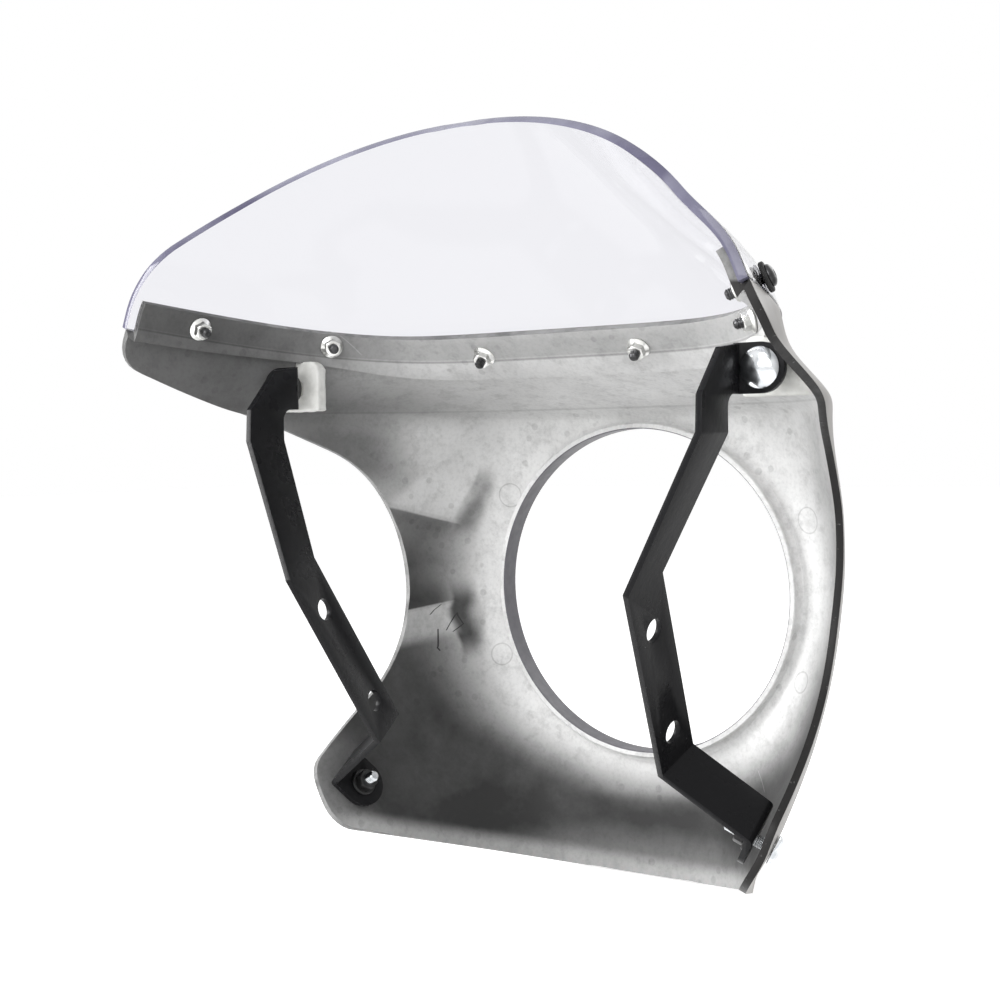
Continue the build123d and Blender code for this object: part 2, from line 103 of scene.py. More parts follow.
class Wire:
    """One output of a tree's nodes, with Python's own arithmetic."""

    def __init__(self, nodes: Nodes, socket: bpy.types.NodeSocket) -> None:
        """Keeps the nodes and the socket."""
        self.nodes = nodes
        self.socket = socket

    def math(self, operation: str, *values: Any) -> Wire:
        """Adds a Math node on numbers or wires, in the order of its sockets."""
        return self.nodes.add("ShaderNodeMath", {"operation": operation}, dict(enumerate(values)))

    def __add__(self, other: Any) -> Wire:
        """Adds a number or a wire."""
        return self.math("ADD", self, other)

    __radd__ = __add__

    def __sub__(self, other: Any) -> Wire:
        """Takes away a number or a wire."""
        return self.math("SUBTRACT", self, other)

    def __rsub__(self, other: Any) -> Wire:
        """Is taken away from a number."""
        return self.math("SUBTRACT", other, self)

    def __mul__(self, other: Any) -> Wire:
        """Multiplies by a number or a wire."""
        return self.math("MULTIPLY", self, other)

    __rmul__ = __mul__

    def ramp(self, low: float, high: float, start: float = 0.0, end: float = 1.0) -> Wire:
        """Returns a smooth step of this value from one level to another."""
        sockets = {0: self, 1: low, 2: high, 3: start, 4: end}
        return self.nodes.add("ShaderNodeMapRange", {"interpolation_type": "SMOOTHSTEP"}, sockets)

    def band(self, low: float, high: float, start: float = 0.0, end: float = 1.0) -> Wire:
        """Returns a smooth step of this length between two lengths in millimetres."""
        return self.ramp(low * MM, high * MM, start, end)

    def line(self, half_width: float, strength: float) -> Wire:
        """Returns a fine line where this length is zero, with its half width in millimetres."""
        return self.math("ABSOLUTE", self).band(0.1, half_width, strength, 0.0)

    def over(self, ground: Wire) -> Wire:
        """Returns another mask with this one laid over it."""
        return ground + self * (1.0 - ground)


class Nodes:
    """Adds nodes to the tree of a material or a world."""

    def __init__(self, tree: bpy.types.NodeTree) -> None:
        """Keeps the tree."""
        self.tree = tree

    def add(self, kind: str, settings: dict[str, Any], sockets: dict[Any, Any], output: Any = 0) -> Wire:
        """Adds a node.

        Args:
            kind: The node's type.
            settings: Values of the node's own properties, set before its sockets.
            sockets: Numbers, vectors or wires by the socket's name or number.
            output: Name or number of the output that is wanted.

        Returns:
            The chosen output.
        """
        node = self.tree.nodes.new(kind)
        for name, value in settings.items():
            setattr(node, name, value)
        for name, value in sockets.items():
            self.feed(node.inputs[name], value)
        return Wire(self, node.outputs[output])

    def feed(self, socket: bpy.types.NodeSocket, value: Any) -> None:
        """Links a wire to a socket, or sets the socket to a plain value.

        Args:
            socket: The input socket.
            value: A wire, a number, a vector or a colour.
        """
        if isinstance(value, Wire):
            self.tree.links.new(value.socket, socket)
        else:
            socket.default_value = value

    def seen(self) -> Wire:
        """Returns 1 where the camera sees a surface, straight, in gloss or through glass."""
        straight, gloss, glass = (
            self.add("ShaderNodeLightPath", {}, {}, f"Is {ray} Ray")
            for ray in ("Camera", "Glossy", "Transmission")
        )
        return glass.math("MAXIMUM", gloss.math("MAXIMUM", straight, gloss), glass)


class Painter(Nodes):
    """Builds one finish's nodes round a Principled shader."""

    def __init__(self, name: str) -> None:
        """Starts a material that holds only the shader and its output.

        Args:
            name: The material's name.
        """
        self.material = bpy.data.materials.new(name)
        self.material.use_nodes = True
        super().__init__(self.material.node_tree)
        self.tree.nodes.clear()
        self.shader = self.tree.nodes.new("ShaderNodeBsdfPrincipled")
        output = self.tree.nodes.new("ShaderNodeOutputMaterial")
        self.tree.links.new(self.shader.outputs[0], output.inputs[0])

    def set(self, **sockets: Any) -> None:
        """Feeds sockets of the shader, named with underscores for spaces."""
        for name, value in sockets.items():
            self.feed(self.shader.inputs[name.replace("_", " ")], value)

    def place(self) -> Wire:
        """Returns the point on the piece, in metres."""
        return self.add("ShaderNodeTexCoord", {}, {}, "Object")

    def axis(self, name: str) -> Wire:
        """Returns one coordinate of the point on the piece, in metres."""
        return self.add("ShaderNodeSeparateXYZ", {}, {0: self.place()}, name)

    def vector(self, operation: str, *values: Any, output: str = "Value") -> Wire:
        """Adds a Vector Math node on vectors or wires, in the order of its sockets."""
        return self.add("ShaderNodeVectorMath", {"operation": operation}, dict(enumerate(values)), output)

    def stretched(self, scale: Triple) -> Wire:
        """Returns the point on the piece with its axes scaled."""
        return self.vector("MULTIPLY", self.place(), scale, output="Vector")

    def away(self, centre: Triple) -> Wire:
        """Returns the distance from a point given in millimetres, in metres."""
        return self.vector("DISTANCE", self.place(), tuple(value * MM for value in centre))

    def flat(self) -> Wire:
        """Returns the distance from the lamp's axis, in metres."""
        return self.vector("LENGTH", self.stretched((1.0, 0.0, 1.0)))

    def along(self, start: Pair, ahead: Pair) -> Wire:
        """Returns the distance from a place across and up, measured along a direction, in metres."""
        reach = self.vector("DOT_PRODUCT", self.place(), (ahead[0], 0.0, ahead[1]))
        return reach - (start[0] * ahead[0] + start[1] * ahead[1]) * MM

    def noise(
        self, scale: float, detail: float = 4.0, roughness: float = 0.55, at: Wire | None = None
    ) -> Wire:
        """Returns a cloudy pattern, with its scale in features per metre."""
        sockets = {"Vector": at or self.place(), "Scale": scale, "Detail": detail, "Roughness": roughness}
        return self.add("ShaderNodeTexNoise", {}, sockets)

    def cells(self, scale: float) -> Wire:
        """Returns the distance to the nearest of some scattered points."""
        return self.add("ShaderNodeTexVoronoi", {}, {"Vector": self.place(), "Scale": scale})

    def mix(self, share: Any, first: Any, second: Any) -> Wire:
        """Returns a colour between two others."""
        sockets = {0: share, 6: self.opaque(first), 7: self.opaque(second)}
        return self.add("ShaderNodeMix", {"data_type": "RGBA"}, sockets, 2)

    def bump(self, height: Wire, strength: float, depth: float) -> None:
        """Raises the surface by a height of 0 to 1 times a depth in millimetres."""
        sockets = {"Height": height, "Strength": strength, "Distance": depth * MM}
        self.set(Normal=self.add("ShaderNodeBump", {}, sockets))

    @staticmethod
    def opaque(colour: Any) -> Any:
        """Returns a plain colour with full alpha, and a wire as it is."""
        return colour if isinstance(colour, Wire) else (*colour, 1.0)


@dataclass(frozen=True)
class Slant:
    """A line in the side view that rises to the rear, by its height at the lamp's centre and its slope."""

    height: float
    slope: float

    def above(self, paint: Painter) -> Wire:
        """Returns how far the point on the piece is above the line, in metres."""
        return paint.axis("Z") - self.slope * paint.axis("Y") - self.height * MM


LEDGE = Slant(117.0, 0.12)
CHIN_HEM = Slant(-157.0, 0.3058)


@dataclass(frozen=True)
class SoftPatch:
    """A soft patch along a line on the moulding, by places across and up, in millimetres; it carries painted
    shade, painted light and fine marks.

    The left and right widths say how far from the line the patch is whole, and how far it reaches.
    """

    start: Pair
    end: Pair
    left: Pair
    right: Pair
    fade: float
    depth: float

    def mask(self, paint: Painter) -> Wire:
        """Makes the patch, fading out over its soft sides and ends.

        Args:
            paint: The finish that it belongs to.

        Returns:
            The patch's strength, up to its depth.
        """
        run = math.dist(self.start, self.end)
        ahead = ((self.end[0] - self.start[0]) / run, (self.end[1] - self.start[1]) / run)
        along = paint.along(self.start, ahead)
        across = paint.along(self.start, (-ahead[1], ahead[0]))
        patch = along.band(-self.fade, self.fade, 0.0, self.depth)
        patch = patch * along.band(run - self.fade, run + self.fade, 1.0, 0.0)
        patch = patch * across.band(*self.left, 1.0, 0.0)
        return patch * across.band(-self.right[1], -self.right[0])


@dataclass(frozen=True)
class ShellInside:
    """Silver moulding seen from inside: painted shade darkens it away from the lamp and round the dents,
    painted light brightens the dents' lit faces, and it is lined and scratched at the dents.
    """

    light: Colour = (0.80, 0.80, 0.795)
    dark: Colour = (0.018, 0.018, 0.018)
    shade_radii: Pair = (99.0, 134.0)
    shade_heights: Pair = (10.0, 78.0)
    chin_heights: Pair = (-112.0, -70.0)
    chin_shift: float = 6.5
    crease_height: float = 100.6
    ring_radius: float = 7.0
    # Patches of painted shade: the dents' shaded faces, the left wing, the right flank and the chin.
    painted_shade_patches: tuple[SoftPatch, ...] = (
        SoftPatch((116.0, 32.0), (102.0, 65.0), (3.0, 11.0), (0.3, 2.0), 8.0, 0.60),
        SoftPatch((150.0, 58.5), (114.6, 36.4), (3.0, 19.0), (0.2, 2.2), 5.0, 0.50),
        SoftPatch((150.0, -20.7), (117.4, -10.0), (0.2, 1.4), (4.0, 24.0), 4.0, 0.72),
        SoftPatch((117.0, -3.0), (109.5, -38.0), (0.4, 2.2), (3.0, 10.0), 9.0, 0.88),
        SoftPatch((168.0, 96.0), (168.0, 190.0), (8.0, 100.0), (90.0, 91.0), 9.0, 0.80),
        SoftPatch((142.0, 60.0), (142.0, 96.0), (4.0, 22.0), (90.0, 91.0), 12.0, 0.70),
        SoftPatch((130.0, -128.0), (56.0, -128.0), (6.0, 16.0), (8.0, 22.0), 22.0, 0.50),
        SoftPatch((-125.0, -130.0), (-125.0, -30.0), (60.0, 61.0), (6.0, 34.0), 34.0, 0.62),
        SoftPatch((-125.0, 48.0), (-125.0, 96.0), (60.0, 61.0), (12.0, 26.0), 12.0, 0.32),
        SoftPatch((62.0, -126.0), (-52.0, -118.0), (6.0, 17.0), (2.0, 10.0), 22.0, 0.50),
    )
    # Patches of painted light: the dents' lit faces, the chin's hem and the forehead.
    painted_light_patches: tuple[SoftPatch, ...] = (
        SoftPatch((148.0, -20.0), (117.2, -10.0), (13.0, 21.0), (0.2, 1.4), 1.6, 0.52),
        SoftPatch((134.0, 48.6), (114.6, 36.4), (0.2, 1.8), (14.0, 34.0), 2.5, 0.55),
        SoftPatch((70.0, -156.0), (-96.0, -152.0), (20.0, 30.0), (4.0, 26.0), 30.0, 0.18),
        SoftPatch((50.0, 108.0), (-110.0, 108.0), (8.0, 14.0), (8.0, 14.0), 25.0, 0.60),
    )
    rings: tuple[Triple, ...] = (
        (87.7, -7.0, 52.0),
        (94.4, -5.0, -41.8),
        (-99.1, -5.0, 40.0),
        (-97.2, -4.0, -45.0),
    )
    hairlines: tuple[tuple[Pair, ...], ...] = (
        ((116.0, -25.8), (112.9, -16.3), (110.4, -22.7), (114.1, -26.9)),
        ((118.2, -24.6), (118.8, -35.6), (118.0, -37.2)),
        ((120.6, -16.0), (119.6, -10.9)),
    )
    scratches: tuple[tuple[Pair, ...], ...] = (
        ((155.6, 153.4), (160.2, 146.0), (162.4, 139.1)),
        ((160.6, 149.5), (163.4, 143.7)),
        ((118.0, 142.0), (112.0, 131.0)),
        ((-40.0, 92.0), (-52.0, 78.0)),
        ((-70.0, -92.0), (-78.0, -101.0)),
    )

    def tone(self, paint: Painter) -> Wire:
        """Works out how far the moulding is darkened by painted shade, less painted light, with a fine dark
        line along the crease.

        Args:
            paint: The finish that is being built.

        Returns:
            The darkening, from 0 to 1.
        """
        rise, depth, ledge = paint.axis("Z"), paint.axis("Y"), LEDGE.above(paint)
        # Painted shade: darker away from the lamp's axis, sooner down in the chin, weaker up high.
        radius = paint.flat() + rise.band(*self.chin_heights, self.chin_shift * MM, 0.0)
        shade_and_marks = radius.band(*self.shade_radii) * rise.band(*self.shade_heights, 0.95, 0.16)
        # Painted shade on the flange above the step.
        shade_and_marks = ledge.band(-0.4, 0.6, 0.0, 0.34).over(shade_and_marks)
        # Patches of painted shade, then patches of painted light.
        for patch in self.painted_shade_patches:
            shade_and_marks = patch.mask(paint).over(shade_and_marks)
        for patch in self.painted_light_patches:
            shade_and_marks = shade_and_marks * (1.0 - patch.mask(paint))
        # Painted light along the chin's hem and low at the rear.
        hem_light = CHIN_HEM.above(paint).band(3.0, 13.0, 0.50, 0.0) * depth.band(110.0, 126.0, 1.0, 0.0)
        rear = depth.band(84.0, 118.0, 0.0, 0.30) * rise.band(-84.0, -64.0, 1.0, 0.0)
        shade_and_marks = shade_and_marks * (1.0 - hem_light) * (1.0 - rear)
        # Painted shadow: a dark line just under the step.
        shade_and_marks = (ledge + 0.6 * MM).line(0.8, 0.45).over(shade_and_marks)
        return (rise - self.crease_height * MM).line(0.8, 0.16).over(shade_and_marks)

    @staticmethod
    def strokes(
        paint: Painter, paths: Sequence[Sequence[Pair]], width: Pair, fade: float, depth: float
    ) -> Wire:
        """Draws fine strokes along some paths.

        Args:
            paint: The finish that is being built.
            paths: Corners of each path across and up, in millimetres.
            width: How far from the path a stroke is whole, and how far it reaches.
            fade: Half length of a stroke's soft ends.
            depth: Strength of a stroke.

        Returns:
            All the strokes together.
        """
        marks: Any = 0.0
        for path in paths:
            for first, last in zip(path, path[1:]):
                marks = marks + SoftPatch(first, last, width, width, fade, depth).mask(paint)
        return marks

    def material(self) -> Material:
        """Returns the finish as a material."""
        paint = Painter("shell_inside")
        cloud = paint.noise(26.0, 6.0, 0.62)
        grain = paint.noise(520.0, 3.0, 0.6)
        streak = paint.noise(34.0, 4.0, 0.6, paint.stretched((1.0, 1.0, 0.15)))
        spots = paint.cells(105.0).ramp(0.18, 0.25, 1.0, 0.0) * paint.noise(14.0, 2.0).ramp(0.42, 0.56)
        mottle = paint.noise(95.0, 8.0, 0.72).ramp(0.46, 0.66, 0.0, 0.15)
        # Random mottling, streaks and dust spots of the moulding itself.
        shade = cloud.ramp(0.30, 0.72, 0.12, 0.0) + streak.ramp(0.52, 0.78, 0.0, 0.10)
        shade = shade + spots * 0.15 + mottle
        marks = self.strokes(paint, self.hairlines, (0.02, 0.28), 0.4, 0.70)
        marks = marks - self.strokes(paint, self.scratches, (0.05, 0.40), 0.8, 0.12)
        for centre in self.rings:
            marks = marks + (paint.away(centre) - self.ring_radius * MM).line(0.6, 0.20)
        # The painted shade from tone(), broken up by the cloud, under the mottling and the marks.
        shade_and_marks = self.tone(paint) * (0.90 + 0.20 * cloud)
        shade_and_marks = (shade + grain.ramp(0.40, 0.75, 0.0, 0.10)).over(shade_and_marks) + marks
        shade_and_marks = shade_and_marks.math("MINIMUM", shade_and_marks.math("MAXIMUM", shade_and_marks, 0.0), 0.98)
        paint.set(Base_Color=paint.mix(shade_and_marks, self.light, self.dark), Metallic=0.10)
        paint.set(Roughness=0.44 + 0.16 * cloud, Specular_IOR_Level=0.3)
        paint.bump(grain * 0.6 + cloud, 0.25, 0.5)
        return paint.material


@dataclass(frozen=True)
class ShellOutside:
    """Warm grey paint over the outside, with a low gloss."""

    colour: Colour = (0.245, 0.225, 0.202)
    deep: Colour = (0.205, 0.188, 0.172)

    def material(self) -> Material:
        """Returns the finish as a material."""
        paint = Painter("shell_outside")
        cloud = paint.noise(18.0).ramp(0.35, 0.7)
        paint.set(Base_Color=paint.mix(cloud, self.colour, self.deep), Specular_IOR_Level=0.22)
        paint.set(Roughness=0.24 + 0.12 * paint.noise(60.0, 3.0))
        paint.bump(paint.noise(260.0, 2.0), 0.10, 0.4)
        return paint.material


@dataclass(frozen=True)
class ShellRim:
    """Cut edges of the moulding: scuffed, with painted shade that darkens them on the left wing and paints
    them black down the right flank.
    """

    light: Colour = (0.27, 0.27, 0.268)
    dark: Colour = (0.14, 0.14, 0.14)
    shaded: Colour = (0.06, 0.06, 0.06)
    black: Colour = (0.020, 0.019, 0.019)

    def material(self) -> Material:
        """Returns the finish as a material."""
        paint = Painter("shell_rim")
        scuff = paint.noise(60.0, 5.0, 0.7).ramp(0.38, 0.70)
        # Painted shade: the rim darker on the left wing.
        wing = paint.axis("X").band(135.0, 152.0, 0.0, 0.75)
        grey = paint.mix(wing, paint.mix(scuff, self.light, self.dark), self.shaded)
        # Painted shade: the rim black down the right flank, below the step, broken by noise.
        right = paint.axis("X").band(-92.0, -84.0, 1.0, 0.0)
        below = LEDGE.above(paint).band(-1.0, 1.0, 1.0, 0.0)
        chips = paint.noise(420.0, 3.0).ramp(0.66, 0.74, 1.0, 0.45)
        black = right * paint.axis("Z").band(-132.0, -112.0) * below * chips
        paint.set(Base_Color=paint.mix(black, grey, self.black), Roughness=0.45 + 0.15 * scuff)
        paint.set(Specular_IOR_Level=0.2)
        paint.bump(paint.noise(700.0, 2.0), 0.25, 0.2)
        return paint.material


@dataclass(frozen=True)
class ClearScreen:
    """Clear moulded plastic with faint handling marks."""

    tint: Colour = (0.88, 0.88, 0.915)

    def material(self) -> Material:
        """Returns the finish as a material."""
        paint = Painter("screen_clear")
        haze = paint.noise(16.0, 5.0).ramp(0.55, 0.85, 0.0, 0.06)
        paint.set(Base_Color=(*self.tint, 1.0), Roughness=haze * 0.5, IOR=1.12, Transmission_Weight=1.0)
        return paint.material


@dataclass(frozen=True)
class ScreenEdge:
    """Edge of the screen, a dense blue grey with painted shade that darkens it towards its lower ends."""

    light: Colour = (0.30, 0.30, 0.37)
    dark: Colour = (0.085, 0.080, 0.135)

    def material(self) -> Material:
        """Returns the finish as a material."""
        paint = Painter("screen_edge")
        band = paint.noise(22.0, 3.0).ramp(0.35, 0.65, 0.0, 0.55)
        # Painted shade: the edge darker towards its lower ends.
        ends = paint.axis("Z").band(192.0, 226.0, 0.62, 0.0)
        paint.set(Base_Color=paint.mix(band + ends, self.light, self.dark), Roughness=0.10 + 0.1 * band)
        paint.set(Specular_IOR_Level=0.3)
        return paint.material


@dataclass(frozen=True)
class GlossBlack:
    """Black paint with a fine orange peel and dust specks; the bars' edge copy is a lighter black, partly a
    painted highlight.
    """

    name: str
    colour: Colour = (0.010, 0.010, 0.011)
    speck: Colour = (0.10, 0.10, 0.10)
    roughness: float = 0.22

    def material(self) -> Material:
        """Returns the finish as a material."""
        paint = Painter(self.name)
        dust = paint.cells(240.0).ramp(0.03, 0.10, 1.0, 0.0) * paint.noise(30.0, 2.0).ramp(0.5, 0.68)
        paint.set(Base_Color=paint.mix(dust, self.colour, self.speck), Specular_IOR_Level=0.10)
        paint.set(Roughness=self.roughness + 0.12 * paint.noise(45.0, 3.0))
        paint.bump(paint.noise(330.0, 2.0) + dust, 0.22, 0.5)
        return paint.material


@dataclass(frozen=True)
class Metal:
    """Plated or blackened metal with clouding and fine scratches."""

    name: str
    light: Colour
    dark: Colour
    roughness: float
    metallic: float = 1.0

    def material(self) -> Material:
        """Returns the finish as a material."""
        paint = Painter(self.name)
        cloud = paint.noise(150.0)
        scratch = paint.noise(900.0, 2.0, 0.5, paint.stretched((1.0, 0.1, 1.0)))
        paint.set(Base_Color=paint.mix(cloud.ramp(0.35, 0.7), self.light, self.dark), Metallic=self.metallic)
        paint.set(Roughness=self.roughness + 0.14 * cloud)
        paint.bump(scratch, 0.12, 0.15)
        return paint.material


@dataclass(frozen=True)
class Matte:
    """Rubber, cast resin or bare moulding, and the painted highlight on the screen's bevels: dull, mottled
    and slightly rough.
    """

    name: str
    light: Colour
    dark: Colour
    roughness: float

    def material(self) -> Material:
        """Returns the finish as a material."""
        paint = Painter(self.name)
        cloud = paint.noise(190.0, 5.0)
        paint.set(Base_Color=paint.mix(cloud.ramp(0.35, 0.7), self.light, self.dark))
        paint.set(Roughness=self.roughness + 0.15 * cloud)
        paint.bump(cloud, 0.4, 0.5)
        return paint.material


@dataclass(frozen=True)
class Seat:
    """A place for a fastener: a point in millimetres and the direction that it points out along."""

    origin: Vector
    normal: Vector

    @classmethod
    def up(cls, height: float) -> Seat:
        """Returns the seat at a height on the Z axis, pointing up."""
        return cls(Vector((0.0, 0.0, height)), Vector((0.0, 0.0, 1.0)))

    def on(self, side: Side) -> Seat:
        """Returns this left seat on the given side of the centre plane."""
        flip = Vector((side.value, 1.0, 1.0))
        return Seat(self.origin * flip, self.normal * flip)

    def turned(self) -> Seat:
        """Returns the seat with its direction turned round."""
        return Seat(self.origin, -self.normal)

    def moved(self, distance: float) -> Seat:
        """Returns the seat moved along its own direction, in millimetres."""
        return Seat(self.origin + self.normal * distance, self.normal)

    def matrix(self) -> Matrix:
        """Returns the placing matrix in metres, with Z along the seat's direction."""
        turn = self.normal.to_track_quat("Z", "Y").to_matrix().to_4x4()
        return Matrix.Translation(self.origin * MM) @ turn

    def span(self, node: Piece, reach: float) -> Pair:
        """Measures a CAD node near the seat's axis.

        Args:
            node: The node's object.
            reach: Greatest distance from the seat, in millimetres.

        Returns:
            The lowest and highest distance of the node along the seat's direction, in millimetres.
        """
        arms = [vertex.co / MM - self.origin for vertex in node.data.vertices]
        heights = [arm.dot(self.normal) for arm in arms if arm.length < reach]
        return min(heights), max(heights)


LAMP_AXIS = Seat(Vector((0.0, 0.0, 0.0)), Vector((0.0, 1.0, 0.0)))


class Bench:
    """Blender's tools as these pieces use them."""

    @staticmethod
    def clear() -> None:
        """Deselects everything."""
        bpy.ops.object.select_all(action="DESELECT")

    @staticmethod
    def pick(piece: Piece) -> None:
        """Selects one piece alone and makes it active.

        Args:
            piece: The piece.
        """
        Bench.clear()
        piece.select_set(True)
        bpy.context.view_layer.objects.active = piece

    @staticmethod
    def edit(piece: Piece, *steps: Callable[[], Any]) -> None:
        """Runs edit mode steps on all of a piece's mesh.

        Args:
            piece: The piece.
            steps: The steps, in order.
        """
        Bench.pick(piece)
        bpy.ops.object.mode_set(mode="EDIT")
        bpy.ops.mesh.select_all(action="SELECT")
        for step in steps:
            step()
        bpy.ops.object.mode_set(mode="OBJECT")

    @staticmethod
    def tidy(piece: Piece) -> None:
        """Merges doubled points and turns the faces outwards."""
        Bench.edit(
            piece,
            lambda: bpy.ops.mesh.remove_doubles(threshold=0.01 * MM),
            lambda: bpy.ops.mesh.normals_make_consistent(inside=False),
        )

    @staticmethod
    def modify(piece: Piece, kind: str, **settings: Any) -> None:
        """Adds a modifier and applies it.

        Args:
            piece: The piece that it changes.
            kind: The modifier's type.
            settings: Values of the modifier's properties.
        """
        Bench.pick(piece)
        modifier = piece.modifiers.new(kind.title(), kind)
        for name, value in settings.items():
            setattr(modifier, name, value)
        bpy.ops.object.modifier_apply(modifier=modifier.name)

    @staticmethod
    def thicken(piece: Piece, wall: float, inner: int, rim: int) -> None:
        """Gives a sheet a wall inwards, with the materials' numbers on its inner side and its rim."""
        Bench.modify(
            piece,
            "SOLIDIFY",
            thickness=wall * MM,
            offset=-1.0,
            use_even_offset=True,
            use_rim=True,
            material_offset=inner,
            material_offset_rim=rim,
        )

    @staticmethod
    def bevel(piece: Piece, width: float, angle: float, segments: int = 2, material: int = -1) -> None:
        """Eases edges sharper than an angle in degrees, by a width in millimetres."""
        Bench.modify(
            piece,
            "BEVEL",
            width=width * MM,
            segments=segments,
            limit_method="ANGLE",
            angle_limit=math.radians(angle),
            material=material,
        )

    @staticmethod
    def cut(piece: Piece, tool: Piece, operation: str = "DIFFERENCE") -> None:
        """Cuts a piece with a tool, which is used up."""
        Bench.modify(piece, "BOOLEAN", object=tool, operation=operation, solver="EXACT")
        bpy.data.objects.remove(tool, do_unlink=True)

    @staticmethod
    def drill(piece: Piece, radius: float, seats: Sequence[Seat]) -> None:
        """Drills a hole through a piece at each of some seats."""
        for seat in seats:
            Bench.cut(piece, Bench.rod(radius, 40.0, 24, seat))

    @staticmethod
    def smooth(piece: Piece, angle: float) -> None:
        """Shades a piece smooth, apart from edges sharper than an angle in degrees."""
        Bench.pick(piece)
        bpy.ops.object.shade_smooth_by_angle(angle=math.radians(angle))

    @staticmethod
    def rod(radius: float, length: float, sides: int, seat: Seat) -> Piece:
        """Adds a cylinder or a prism.

        Args:
            radius: Radius to its corners, in millimetres.
            length: Length in millimetres.
            sides: Number of sides.
            seat: Place of its middle and direction of its axis.

        Returns:
            The cylinder.
        """
        Bench.clear()
        bpy.ops.mesh.primitive_cylinder_add(vertices=sides, radius=radius * MM, depth=length * MM)
        tool = bpy.context.object
        tool.data.transform(seat.matrix())
        return tool

    @staticmethod
    def lathe(name: str, profile: Sequence[Pair], sides: int, ring: bool = False) -> Piece:
        """Turns a profile about Z from one circle, extruded and resized along it.

        Args:
            name: Name of the piece.
            profile: Radius and height of each step, in millimetres.
            sides: Number of sides of the circle.
            ring: Whether the profile closes on itself instead of ending in flat caps.

        Returns:
            The turned piece.
        """
        Bench.clear()
        start, height = profile[0]
        bpy.ops.mesh.primitive_circle_add(
            vertices=sides,
            radius=start * MM,
            location=(0.0, 0.0, height * MM),
            fill_type="NOTHING" if ring else "NGON",
        )
        piece = bpy.context.object
        piece.name = name
        Bench.pick(piece)
        bpy.ops.object.transform_apply(location=True, rotation=True, scale=True)
        bpy.ops.object.mode_set(mode="EDIT")
        bpy.ops.mesh.select_all(action="SELECT")
        extrude = bpy.ops.mesh.extrude_edges_move if ring else bpy.ops.mesh.extrude_region_move
        points = list(profile) + ([profile[0]] if ring else [])
        for (radius, low), (wider, high) in zip(points, points[1:]):
            extrude(TRANSFORM_OT_translate={"value": (0.0, 0.0, (high - low) * MM)})
            scale = wider / radius
            bpy.ops.transform.resize(value=(scale, scale, 1.0), center_override=(0.0, 0.0, high * MM))
        bpy.ops.object.mode_set(mode="OBJECT")
        Bench.tidy(piece)
        return piece

    @staticmethod
    def join(name: str, pieces: Sequence[Piece]) -> Piece:
        """Joins some pieces into the first of them.

        Args:
            name: Name of the result.
            pieces: One piece or more.

        Returns:
            The joined piece.
        """
        first = pieces[0]
        Bench.pick(first)
        for piece in pieces:
            piece.select_set(True)
        if len(pieces) > 1:
            bpy.ops.object.join()
        first.name = name
        first.data.name = name
        return first

    @staticmethod
    def node_copy(name: str, node: Piece) -> Piece:
        """Copies a CAD node's mesh, merged and with its flat faces made whole.

        Args:
            name: Name of the copy.
            node: The node's object.

        Returns:
            The copy, with no materials.
        """
        piece = bpy.data.objects.new(name, node.data.copy())
        piece.data.transform(node.matrix_world)
        piece.data.materials.clear()
        bpy.context.collection.objects.link(piece)
        Bench.edit(
            piece,
            lambda: bpy.ops.mesh.remove_doubles(threshold=0.005 * MM),
            lambda: bpy.ops.mesh.dissolve_limited(angle_limit=math.radians(0.5)),
        )
        if piece.data.has_custom_normals:
            Bench.pick(piece)
            bpy.ops.mesh.customdata_custom_splitnormals_clear()
        return piece

    @staticmethod
    def dress(piece: Piece, *materials: Material) -> None:
        """Gives a piece its materials.

        Args:
            piece: The piece.
            materials: Its materials, in the order of their numbers.
        """
        piece.data.materials.clear()
        for material in materials:
            piece.data.materials.append(material)

    @staticmethod
    def fit(piece: Piece, slot: str, *nodes: str) -> None:
        """Puts a finished piece on the frame.

        Args:
            piece: The piece.
            slot: The slot of its main material; not used.
            nodes: The CAD nodes that it stands in place of.
        """
        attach(piece, BODY)
        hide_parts(*nodes)
        piece.data.calc_loop_triangles()
        LOG.info("%s: %d triangles", piece.name, len(piece.data.loop_triangles))


def hinge(distance: np.ndarray, rounding: float) -> np.ndarray:
    """Returns a ramp that leaves zero at no distance, with its corner rounded."""
    return (distance + np.sqrt(distance**2 + rounding**2)) / 2


def ease(value: np.ndarray) -> np.ndarray:
    """Returns a smooth step from 0 to 1 over the same range."""
    t = np.clip(value, 0.0, 1.0)
    return t * t * (3.0 - 2.0 * t)


def lengths_along(line: np.ndarray) -> np.ndarray:
    """Returns how far along a line each of its points is."""
    return np.concatenate([[0.0], np.cumsum(np.linalg.norm(np.diff(line, axis=0), axis=1))])


def divide(line: np.ndarray, lengths: np.ndarray, count: int) -> np.ndarray:
    """Returns a number of points on a line, evenly spaced by its lengths."""
    marks = np.linspace(0.0, lengths[-1], count)
    return np.stack([np.interp(marks, lengths, column) for column in line.T], axis=1)


